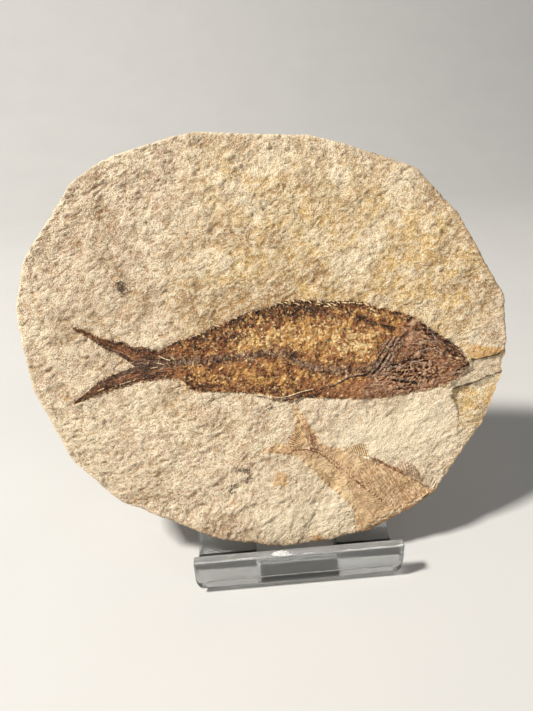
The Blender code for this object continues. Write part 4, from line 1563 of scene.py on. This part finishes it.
    def relief(self, u: Array, v: Array, along: Array, across: Array, edge: Array) -> Array:
        """Thin skin, low swell, a ridge of vertebrae, gritty body and crumpled head."""
        head, tail = self.head(u, v), self.tail(along)
        lip = ease(edge, -0.05, 0.3)
        half = self.lines.half_depth(np.clip(along, 0, 1), across)
        spine = np.abs(across) * half
        at = np.clip(along, 0, 1) * self.lines.length
        column = bell(spine, 0.8) * ease(along, 0.0, 0.05) * fall(along, 0.66, 0.74)
        knobs = 0.65 + 0.35 * np.cos(math.tau * at / 1.45)
        grit = 0.26 * self.noise.at(u, v, 1.15, 3, 0.6) + 0.06 * self.noise.creased(u, v, 0.8)
        gill = self.gill(u, v)
        bundle = 0.2 * self.gill_lines(gill, v) * (edge > 0) - 0.28 * self.clefts(u, v)
        orbit = np.hypot((u - 36.0) / 4.0, (v - 48.6) / 3.0)
        socket = 0.12 * bell(orbit, 0.16, 1.0) - 0.14 * fall(orbit, 0.6, 1.0)
        crumple = 0.28 * self.folds(u, v, along, across) + 0.12 * self.noise.at(u + 30, v, 0.8, 2) + socket
        gap, opened = self.cleft(u, v)
        crack = opened * (0.1 * bell(gap, 0.3, 0.35) - 0.28 * bell(gap, 0.22, -0.1)
                          - 0.1 * ease(-gap, 0.0, 0.3) * fall(-gap, 1.0, 4.0))
        steep = 0.12 * self.muscle(u, v, (1 - across) * half)
        body = (grit + steep) * (1 - head) * (1 - 0.6 * tail) + head * crumple + bundle
        swell = 0.16 * (1 - np.abs(across) ** 2) * (1 - tail)
        fibre = 0.24 * tail * self.fibre(along, across)
        return -0.05 + lip * (0.16 + swell + 0.24 * column * knobs + body + fibre + 0.06 * head + crack)

    def painted(self, u: Array, v: Array, along: Array, across: Array, edge: Array) -> dict[str, Array]:
        """Where the fish is dark, gold, straw, rust or slate, with painted shade in the head's creases and
        painted highlight on its crests and gill ridges.
        """
        laid = {name: strokes(u, v, marks) for name, marks in self.STROKES.items()}
        head, tail = self.head(u, v), self.tail(along)
        body = (1 - head) * (1 - tail)
        half = self.lines.half_depth(np.clip(along, 0, 1), across)
        to_back, to_belly = (1 - across) * half, (1 + across) * half
        folds, fibre = self.folds(u, v, along, across), self.fibre(along, across)
        gap, opened = self.cleft(u, v)
        gill = self.gill(u, v)
        gills = self.gill_lines(gill, v)
        bundle = bell(gill, 1.9, 0.4) * ease(v, 46.5, 50.0) * fall(v, 57.0, 60.0)
        blotch = self.noise.at(u + 25, v + 60, 1.7, 2, 0.6)
        patch = self.noise.at(u + 70, v, 2.6, 3, 0.6)
        pits = -self.noise.at(u, v, 1.05, 3, 0.6)
        column = bell(np.abs(across) * half + 0.6 * patch, 1.6) * fall(along, 0.72, 0.8)
        smooth_belly = brush(u, v, ((14, 44.4), (24, 45), (28.5, 46)), 2.4)
        rim = ease(np.abs(across), 0.4, 0.95)
        return {
            "dark": 0.13 + laid["dark"] + 0.45 * bell(to_back, 1.6) * (1 - 0.4 * head)
            + 0.36 * column * (1 - 0.3 * tail) * (1 - 0.6 * ease(u, 0.0, 8.0))
            + 0.35 * bell(to_belly, 0.9) * body * ease(patch, -0.3, 0.3)
            + 0.9 * opened * bell(gap, 0.24, -0.1) + 0.4 * self.muscle(u, v, to_back) * (1 - tail)
            # The folds term is painted shade in the head's creases; the gills term below lightens the gill
            # ridges as a painted highlight.
            + (0.34 * pits + 0.4 * patch) * body + head * (0.14 - 0.75 * folds) + 0.75 * self.clefts(u, v)
            - 0.35 * gills + 0.12 * bundle + tail * (0.22 + 0.8 * fibre)
            - 0.3 * ease(-along, 0.6, 0.95) - 0.5 * smooth_belly,
            "gold": 0.22 + laid["gold"] - 0.45 * patch + 0.3 * blotch
            - 0.5 * head - 0.7 * bundle - 0.8 * tail,
            "straw": 0.06 + laid["straw"] + 0.4 * blotch * body + 0.35 * opened * bell(gap, 0.3, 0.45)
            - 0.15 * (head + tail),
            "rust": 0.1 + laid["rust"] + 0.5 * smooth_belly + 0.25 * head
            + tail * (0.25 - 0.2 * np.sign(across) + 0.35 * rim - 0.5 * fibre),
            "slate": 0.7 * column + 0.3 * tail * fall(np.abs(across), 0.2, 0.7) + 0.42 * head
            + 0.4 * gills + 0.45 * bundle + 0.2 * bell(to_belly, 4.0) * body,
            # Painted highlight on the head's fold crests and gill ridges.
            "crest_highlight": head * np.clip(0.35 + folds, 0, 1) + 0.35 * gills,
            "folded": np.maximum(head, 0.5 * tail),
            "edge": np.clip(edge, -1.0, 3.0) - 2.5 * laid["bare"],
            "warm": 0.45 * np.ones(np.shape(u)),
        }

    def dress(self) -> list[Piece]:
        """Builds the skin and the bones that stand out on it."""
        return [self.build(), self.backbone(), self.tail_fibres(), self.head_ridges(), self.fin_rays()]

    def backbone(self) -> Piece:
        """Small dark vertebrae, half sunk in the skin."""
        paths = Paths()
        along = np.linspace(0.02, 0.7, 160)
        wander = 0.02 * self.noise.at(along * 60, along * 0, 3.0, 2)
        girth = 0.46 * (0.75 + 0.25 * np.sin(along * 8)) * np.where(along < 0.1, 0.8, 1.0)
        paths.lay(self.on_skin(along, wander, -0.12), girth)
        return self.piece(BEADS, paths, "vertebrae", BoneTone.SLATE, Step=1.45 * MM, Length=0.8, Height=0.75,
                          Least=0.35, Seed=4)

    def tail_fibres(self) -> Piece:
        """Dark fibres that run from the tail's stalk out along each lobe."""
        paths = Paths()
        random = np.random.default_rng(19)
        along = np.linspace(0.0, 1.0, 34)
        for which, sign in ((0, 1), (1, -1)):
            for place in np.linspace(0.08, 0.92, 9):
                start = random.uniform(0.0, 0.2)
                end = random.uniform(0.6, 0.98)
                path = self.on_lobe(which, start + (end - start) * along, place, -0.02)
                run = np.linspace(random.uniform(0.05, 0.12), 0.004, 12)
                if start < 0.1:
                    path = np.vstack([self.on_skin(run, sign * place * 0.9, -0.02), path])
                paths.lay(path, random.uniform(0.07, 0.13), 0.04)
        return self.piece(RAYS, paths, "tail_fibres", BoneTone.CHARRED, Step=0.35 * MM, Sides=5, Wear=0.6,
                          Seed=7)

    def head_ridges(self) -> Piece:
        """Raised lines of the gill cover, the shoulder and the jaws."""
        paths = Paths()
        for line in self.RIDGES:
            path = self.over(line, -0.03)
            paths.lay(path, 0.06 + 0.17 * np.sin(np.linspace(0.25, math.pi - 0.25, len(path))))
        return self.piece(RAYS, paths, "head_ridges", BoneTone.SLATE, Step=0.3 * MM, Sides=6, Wear=0.55,
                          Seed=13)

    def fin_rays(self) -> Piece:
        """Pale, broken fin rays along the back and at the pelvic and anal fins."""
        paths = Paths()
        random = np.random.default_rng(23)
        for start, end, count in ((0.43, 0.51, 8), (0.53, 0.69, 16), (0.14, 0.3, 4)):
            for along in np.linspace(start, end, count) + random.uniform(-0.004, 0.004, count):
                reach = random.uniform(0.8, 1.8)
                place = self.lines.place(np.array(along), np.array(random.uniform(0.9, 0.99)))
                u, v = float(place[0]), float(place[1])
                rise = random.uniform(0.1, 0.9)
                path = self.over(((u, v), (u - reach * 0.5, v + rise * 0.7), (u - reach, v + rise)), 0.16, 4)
                paths.lay(path, random.uniform(0.2, 0.3), 0.1)
        for line in self.PALE_RAYS:
            paths.lay(self.over(line, 0.06), 0.17)
        return self.piece(RAYS, paths, "fin_rays", BoneTone.PALE, Step=0.3 * MM, Sides=5, Wear=0.4, Seed=17)


@dataclass
class SmallFish(FishFilm):
    """The small fish: a thin light-brown stain with fine bones, cut off by the slab's edge."""

    lines: FishLines = field(default_factory=lambda: SMALL)
    title: str = "small_fish"
    slot: str = "light_fossil"
    wears: Finish = LightFossilFinish()
    stations: int = 250
    across: int = 60
    lobe_stations: int = 60
    ragged: float = 0.15
    seed: int = 97

    STROKES = {
        "cover": ((0.2, 3.5, ((12, 26), (18, 21))), (0.2, 4, ((20, 12), (22, 8))), (-0.15, 4, ((30, 17),))),
        "rust": ((0.6, 1.6, ((6.6, 30.4), (5.8, 33), (4.6, 36))), (0.3, 1.5, ((18, 6), (26, 8.5))),
                 (0.45, 0.7, ((5.3, 28.6), (1.5, 28.2), (-4, 28.8)))),
        "dark": ((0.7, 1.5, ((6.8, 29.8), (6.4, 32))), (0.8, 0.35, ((0.5, 28.7), (3, 28.5), (5.6, 28.6))),
                 (0.5, 0.3, ((-6, 28.6), (-2, 28.2), (1, 27.3))),
                 (0.75, 0.4, ((23.6, 24.2), (25.6, 23.2), (28.2, 21.6), (31.5, 19.6))),
                 (0.5, 0.6, ((31.5, 19.6), (36, 16.9), (40, 13.9)))),
        "straw": ((0.35, 1.6, ((2.2, 41), (3.5, 38))), (0.3, 2.6, ((12, 20), (15.5, 15))),
                  (0.3, 2.0, ((18.5, 9.0), (20.0, 6.0)))),
    }

    def relief(self, u: Array, v: Array, along: Array, across: Array, edge: Array) -> Array:
        """A very thin skin with a faint backbone."""
        lip = ease(edge, -0.05, 0.25)
        half = self.lines.half_depth(np.clip(along, 0, 1), across)
        column = bell(np.abs(across) * half, 0.6) * (along > 0)
        return -0.04 + lip * (0.09 + 0.1 * column + 0.03 * self.noise.at(u, v, 0.8, 2))

    def painted(self, u: Array, v: Array, along: Array, across: Array, edge: Array) -> dict[str, Array]:
        """Where the stain is strong, striped, rusty or pale."""
        laid = {name: strokes(u, v, marks) for name, marks in self.STROKES.items()}
        half = self.lines.half_depth(np.clip(along, 0, 1), across)
        spine = np.abs(across) * half
        lobe = (along < 0).astype(float)
        beads = (bell(spine, 0.25, 0.5) + 0.35 * bell(spine, 0.4)) * (1 - lobe)
        chain = bell(spine, 0.5) * ease(self.noise.at(u, v, 2.2, 2), 0.0, 0.4)
        seen = ease(along, 0.42, 0.5) * fall(along, 0.82, 0.9)
        return {
            "cover": 0.8 + laid["cover"] + 0.35 * (self.noise.at(u + 45, v, 4.5, 2) * (1 - lobe) + lobe),
            "dark": laid["dark"] + 0.9 * chain * seen
            + 0.65 * beads * fall(along, 0.3, 0.45) * (0.85 + 0.8 * self.noise.at(u, v, 0.9, 2)),
            "straw": 0.15 + laid["straw"] + 0.45 * self.noise.at(u + 15, v + 33, 3.4, 2) * (1 - lobe),
            "striped": 0.16 + 0.2 * lobe
            + 0.35 * ease(along, 0.35, 0.7) * ease(across, -0.3, 0.5),
            "rust": laid["rust"] + 0.5 * bell(spine, 0.75) * (1 - lobe)
            + 0.45 * bell((1 - across) * half, 0.6) * ease(along, 0.45, 0.6),
            "edge": np.clip(edge, -1.0, 3.0),
            "warm": 0.1 * np.ones(np.shape(u)),
        }

    def dress(self) -> list[Piece]:
        """Builds the skin and the fine bones on it."""
        return [self.build(), self.backbone(), self.ribs(), self.scutes(), *self.fin_rays()]

    def backbone(self) -> Piece:
        """A chain of small vertebrae, clearest behind the tail and before the cut."""
        paths = Paths()
        along = np.linspace(0.01, 0.97, 120)
        seen = 0.5 + 0.5 * np.maximum(bell(along, 0.16, 0.2), bell(along, 0.1, 0.72))
        paths.lay(self.on_skin(along, 0.03 * np.sin(along * 21), 0.04), 0.46 * seen)
        return self.piece(BEADS, paths, "vertebrae", BoneTone.BUFF, Step=0.92 * MM, Length=0.66, Height=0.8,
                          Least=0.5, Seed=8)

    def ribs(self) -> Piece:
        """Fine ribs and spines that slant back from the vertebrae to both edges."""
        paths = Paths()
        random = np.random.default_rng(29)
        out = np.linspace(0.04, 1.0, 12)
        for place in np.arange(0.06, 0.95, 0.027):
            for side in (1, -1):
                reach = random.uniform(0.45, 0.93)
                sweep = random.uniform(0.045, 0.065) * (1 if place > 0.12 else 0.5)
                along = place - sweep * out**0.8 + 0.01
                paths.lay(self.on_skin(along, side * reach * out, -0.035), 0.1, 0.06)
        return self.piece(RAYS, paths, "ribs", BoneTone.BROWN, Step=0.35 * MM, Sides=5, Wear=0.5, Seed=31)

    def fin_rays(self) -> list[Piece]:
        """Pale and brown rays between the tail's lobes and in the first fin, and the hind fin's rays."""
        fins = (
            ("pale", BoneTone.PALE, ((*TAIL_FAN, 11, 0.1, 0.19), (*BACK_FIN, 11, 0.18, 0.13))),
            ("brown", BoneTone.RUST, ((*TAIL_FAN, 10, 0.1 * 0.75, 0.19 * 0.75),
                                      (*BACK_FIN, 10, 0.18 * 0.75**4, 0.13 * 0.75**4))),
            ("hind_fin", BoneTone.BROWN, ((*HIND_FIN, 10, 0.12, 0.06),)),
        )
        made = []
        for name, tone, fans in fins:
            paths = Paths()
            for fan in fans:
                self.fan(paths, *fan)
            made.append(self.piece(RAYS, paths, f"{name}_rays", tone, Step=0.3 * MM, Sides=5, Wear=0.3,
                                   Seed=41))
        return made

    def fan(self, paths: Paths, roots: Array, tips: Array, count: int, root: float, tip: float) -> None:
        """Lays a fin's rays from its root line to its tip line.

        Args:
            paths: Where the rays are gathered.
            roots: Line of the rays' roots.
            tips: Line of their tips.
            count: Number of rays; an even number stands between the rays of an odd one.
            root: Radius at the root in millimetres.
            tip: Radius at the tip.
        """
        random = np.random.default_rng(count)
        for share in (np.arange(count) + 0.5 * (count % 2 == 0)) / (count - (count % 2)):
            (ru, rv), (tu, tv) = at_share(roots, share), at_share(tips, share)
            reach = random.uniform(0.82, 1.04)
            du, dv = (tu - ru) * reach, (tv - rv) * reach
            line = [(float(ru + du * s), float(rv + dv * s)) for s in (0, 0.5, 1)]
            paths.lay(self.over(line, 0.16, 6), root, tip)

    def scutes(self) -> Piece:
        """Overlapping dark scutes that make the back's edge serrated."""
        paths = Paths()
        random = np.random.default_rng(51)
        ridge = flowing(((23.2, 24.3), (25.2, 23.5), (27.4, 22.1), (29.4, 20.9), (31.6, 20)))
        for share in np.linspace(0.0, 1.0, 22):
            u, v = (float(x) for x in at_share(ridge, share))
            reach = random.uniform(0.8, 1.35)
            line = ((u, v - 0.3), (u - 0.5 * reach, v + 0.45 * reach), (u - reach, v + 1.05 * reach))
            paths.lay(self.over(line, 0.08, 4), 0.2, 0.04)
        return self.piece(RAYS, paths, "scutes", BoneTone.BROWN, Step=0.25 * MM, Sides=6, Wear=0.3, Seed=43)


# The easel


def moulded(name: str, bm: bmesh.types.BMesh) -> Piece:
    """The finished form as an object in the scene."""
    mesh = bpy.data.meshes.new(name)
    bm.to_mesh(mesh)
    bm.free()
    return linked(name, mesh)


@dataclass
class Easel:
    """The clear easel: one bent sheet with a front lip, a ledge, a backrest and a tongue bent out as leg."""

    sheet: float = 2.5
    width: float = 57.0
    lip_front: float = -6.0
    lip_height: float = 11.4
    lip_bend: float = 1.0
    lip_corner: float = 2.4
    corner_y: float = 9.5
    rest_bend: float = 3.0
    rest_length: float = 62.0
    lean: float = math.radians(22.0)
    window_width: float = 23.0
    window_front: float = 2.5
    saw_kerf: float = 0.75
    leg_root: float = 46.0
    leg_straight: float = 1.5
    leg_bend: float = 3.0
    leg_splay: float = math.radians(25.0)
    edge_break: float = 0.25
    steps: int = 12

    def arc(self, y: float, z: float, radius: float, start: float, end: float) -> list[tuple[float, float]]:
        """Points along an arc in the side view, its first point left out."""
        turns = [start + (end - start) * i / self.steps for i in range(1, self.steps + 1)]
        return [(y + radius * math.cos(a), z + radius * math.sin(a)) for a in turns]

    def rows(self) -> tuple[list[tuple[float, float]], int, int, int]:
        """The sheet's middle from lip to backrest, and where the ledge, window and leg root are."""
        half = self.sheet / 2
        lip_radius, rest_radius = self.lip_bend + half, self.rest_bend + half
        lip_y = self.lip_front + half
        turn = math.pi / 2 - self.lean
        bend_y = self.corner_y - self.rest_bend * math.tan(turn / 2)
        rows = [(lip_y, self.lip_height), (lip_y, self.lip_height - 3.0), (lip_y, half + lip_radius + 2.0)]
        rows += [(lip_y, half + lip_radius + 1.0), (lip_y, half + lip_radius)]
        rows += self.arc(lip_y + lip_radius, half + lip_radius, lip_radius, math.pi, 1.5 * math.pi)
        ledge = len(rows) - 1
        rows.append((self.window_front, half))
        window = len(rows) - 1
        rows.append((bend_y, half))
        rows += self.arc(bend_y, half + rest_radius, rest_radius, 1.5 * math.pi, 1.5 * math.pi + turn)
        foot_y, foot_z = rows[-1]
        for length in (self.leg_root, self.rest_length):
            rows.append((foot_y + length * math.sin(self.lean), foot_z + length * math.cos(self.lean)))
        return rows, ledge, window, len(rows) - 2

    def leg(self, root: tuple[float, float]) -> list[tuple[float, float]]:
        """The leg's middle from its root on the backrest to the floor."""
        radius = self.leg_bend + self.sheet / 2
        start = (root[0] - self.leg_straight * math.sin(self.lean),
                 root[1] - self.leg_straight * math.cos(self.lean))
        centre = (start[0] + radius * math.cos(self.lean), start[1] - radius * math.sin(self.lean))
        first = math.pi - self.lean
        rows = [start] + self.arc(*centre, radius, first, first + self.lean + self.leg_splay)
        end_z = (self.sheet / 2 - self.edge_break) * math.sin(self.leg_splay) + 0.04
        run = (rows[-1][1] - end_z) / math.cos(self.leg_splay)
        rows.append((rows[-1][0] + run * math.sin(self.leg_splay), end_z))
        return rows

    def inset(self, row: tuple[float, float], above: bool) -> float:
        """How far the lip's lower corners are rounded in at a row of the sheet's middle."""
        if above:
            low = max(0.0, 1.0 - (row[1] - self.sheet / 2) / 4.4)
            return self.lip_corner * low**2.2
        far = max(0.0, 1.0 - (row[0] - self.lip_front - self.sheet) / 3.2)
        return self.lip_corner * far**2.2

    def build(self) -> Piece:
        """Makes the bent sheet with rounded edges."""
        rows, ledge, window, root = self.rows()
        half, hole = self.width / 2, self.window_width / 2
        leg_half = hole - self.saw_kerf
        columns = (-half, -hole, -leg_half, leg_half, hole, half)
        bm = bmesh.new()
        grid = []
        for i, (y, z) in enumerate(rows):
            inset = self.inset((y, z), i <= ledge - self.steps // 2) if i <= window else 0.0
            line = []
            for x in columns:
                shift = math.copysign(inset, x) if abs(x) == half else 0.0
                line.append(bm.verts.new(((x - shift) * MM, y * MM, z * MM)))
            grid.append(line)
        for i in range(len(rows) - 1):
            for j in range(len(columns) - 1):
                if not (window <= i < root and 0 < j < len(columns) - 2):
                    bm.faces.new((grid[i][j], grid[i][j + 1], grid[i + 1][j + 1], grid[i + 1][j]))
        left, right = grid[root][2], grid[root][3]
        for y, z in self.leg(rows[root]):
            pair = [bm.verts.new((x * MM, y * MM, z * MM)) for x in (-leg_half, leg_half)]
            bm.faces.new((left, pair[0], pair[1], right))
            left, right = pair
        bmesh.ops.recalc_face_normals(bm, faces=bm.faces)
        easel = moulded("acrylic_easel", bm)
        thicken = easel.modifiers.new("Sheet", "SOLIDIFY")
        thicken.thickness = self.sheet * MM
        thicken.offset = 0.0
        thicken.use_even_offset = True
        soften = easel.modifiers.new("Edges", "BEVEL")
        soften.width = self.edge_break * MM
        soften.segments = 3
        soften.limit_method = "ANGLE"
        soften.angle_limit = math.radians(50.0)
        flatten(easel)
        easel.data.shade_smooth()
        easel.data.set_sharp_from_angle(angle=math.radians(40.0))
        easel.data.materials.append(AcrylicFinish().material())
        return settle(easel, "clear_acrylic", "stand")

    def chips(self) -> Piece:
        """Frosted chips along the front of the lip's sawn top."""
        paths = Paths()
        x = np.linspace(-self.width / 2 + 0.6, self.width / 2 - 0.6, 240)
        noise = Noise(7)
        y = self.lip_front + 0.26 + 0.02 * noise.at(x, x * 0, 2.0)
        z = self.lip_height + 0.01 + 0.0 * x
        girth = np.clip(0.14 + 0.16 * noise.at(x, x * 0 + 9, 4.0, 3), 0.05, 0.21)
        paths.lay(np.stack([x, y, z], axis=-1) * MM, girth)
        return BEADS.grow(paths, "lip_edge_chips", "clear_acrylic", FrostFinish(), Step=0.3 * MM, Length=2.0,
                          Height=1.3, Least=0.4, Seed=2)

    def residue(self) -> Piece:
        """A dried white smear on top of the lip, left of its middle."""
        bm = bmesh.new()
        bmesh.ops.create_icosphere(bm, subdivisions=5, radius=1.0)
        noise = Noise(77)
        for vert in bm.verts:
            x, y, z = vert.co
            lump = 1.0 + 0.32 * float(noise.at(np.array(x * 2.2 + z), np.array(y * 2.2), 0.7, 3))
            vert.co = Vector((x * 2.5 * lump, y * 0.8 * lump, max(z, -0.3) * 0.45 * lump))
            vert.co += Vector((-4.9, self.lip_front + 0.95, self.lip_height + 0.02))
            vert.co *= MM
        residue = moulded("lip_residue", bm)
        residue.data.shade_smooth()
        residue.data.materials.append(FrostFinish().material())
        return settle(residue, "clear_acrylic")

    def dress(self) -> list[Piece]:
        """Builds the easel, its chips and its residue."""
        return [self.build(), self.chips(), self.residue()]


# The studio


@dataclass
class Studio:
    """The camera at the photograph's angle, soft lights and the pale floor."""

    focal: float = 27.04
    eye: tuple[float, float, float] = (-11.11, -112.62, 120.29)
    heading: float = math.radians(2.63)
    pitch: float = math.radians(24.9)
    roll: float = math.radians(2.95)

    def camera(self) -> Piece:
        """Makes the camera and gives it to the scene."""
        camera = linked("camera", bpy.data.cameras.new("camera"))
        ahead = Vector((math.sin(self.heading) * math.cos(self.pitch),
                        math.cos(self.heading) * math.cos(self.pitch), -math.sin(self.pitch)))
        right = Vector((math.cos(self.heading), -math.sin(self.heading), 0.0))
        up = right.cross(ahead)
        sine, cosine = math.sin(self.roll), math.cos(self.roll)
        right, up = cosine * right - sine * up, sine * right + cosine * up
        turn = Matrix((right, up, -ahead)).transposed().to_4x4()
        camera.matrix_world = Matrix.Translation(Vector(self.eye) * MM) @ turn
        camera.data.lens = self.focal
        camera.data.sensor_width = 36.0
        camera.data.clip_start = 0.005
        bpy.context.scene.camera = camera
        return camera

    def light(self, name: str, place: Sequence[float], size: float, power: float,
              colour: tuple[float, float, float]) -> None:
        """Adds a square soft light that faces the slab.

        Args:
            name: Name of the light.
            place: Where it stands, in metres.
            size: Its side in metres.
            power: Its power in watts.
            colour: Its colour.
        """
        lamp = bpy.data.lights.new(name, "AREA")
        lamp.size, lamp.energy, lamp.color = size, power, colour
        turn = (Vector((0.0, 0.02, 0.06)) - Vector(place)).to_track_quat("-Z", "Y")
        linked(name, lamp).matrix_world = Matrix.Translation(place) @ turn.to_matrix().to_4x4()

    def build(self) -> None:
        """Makes the camera, the lights, the sky and the floor."""
        self.camera()
        self.light("key_light", (-0.95, -0.27, 1.38), 0.2, 42.5, (1.0, 0.965, 0.91))
        self.light("fill_light", (0.30, -0.50, 0.14), 0.3, 0.9, (1.0, 0.97, 0.94))
        world = bpy.data.worlds.new("studio")
        world.use_nodes = True
        background = world.node_tree.nodes["Background"]
        background.inputs["Color"].default_value = (0.93, 0.95, 1.0, 1.0)
        background.inputs["Strength"].default_value = 0.2
        bpy.context.scene.world = world
        bpy.context.scene.view_settings.view_transform = "Standard"
        turns = np.linspace(-math.pi / 2, 0.0, 25)
        sweep = [(0.6 + 0.7 * math.cos(a), 0.7 + 0.7 * math.sin(a)) for a in turns]
        profile = [(-2.5, 0), (0.2, 0), *sweep, (1.3, 2.6)]
        points = np.array([(x, y, z) for y, z in profile for x in (-3.0, 3.0)])
        faces = [(2 * k, 2 * k + 1, 2 * k + 3, 2 * k + 2) for k in range(len(profile) - 1)]
        plain_object("floor", points, faces, FloorFinish())


def main() -> None:
    """Builds the slab, the fossils, the easel and the studio, logging each piece's face count."""
    logging.basicConfig(level=logging.INFO, format="%(name)s %(message)s")
    Studio().build()
    StoneSlab().build()
    LargeFish().dress()
    SmallFish().dress()
    Easel().dress()


if __name__ == "__main__":
    main()
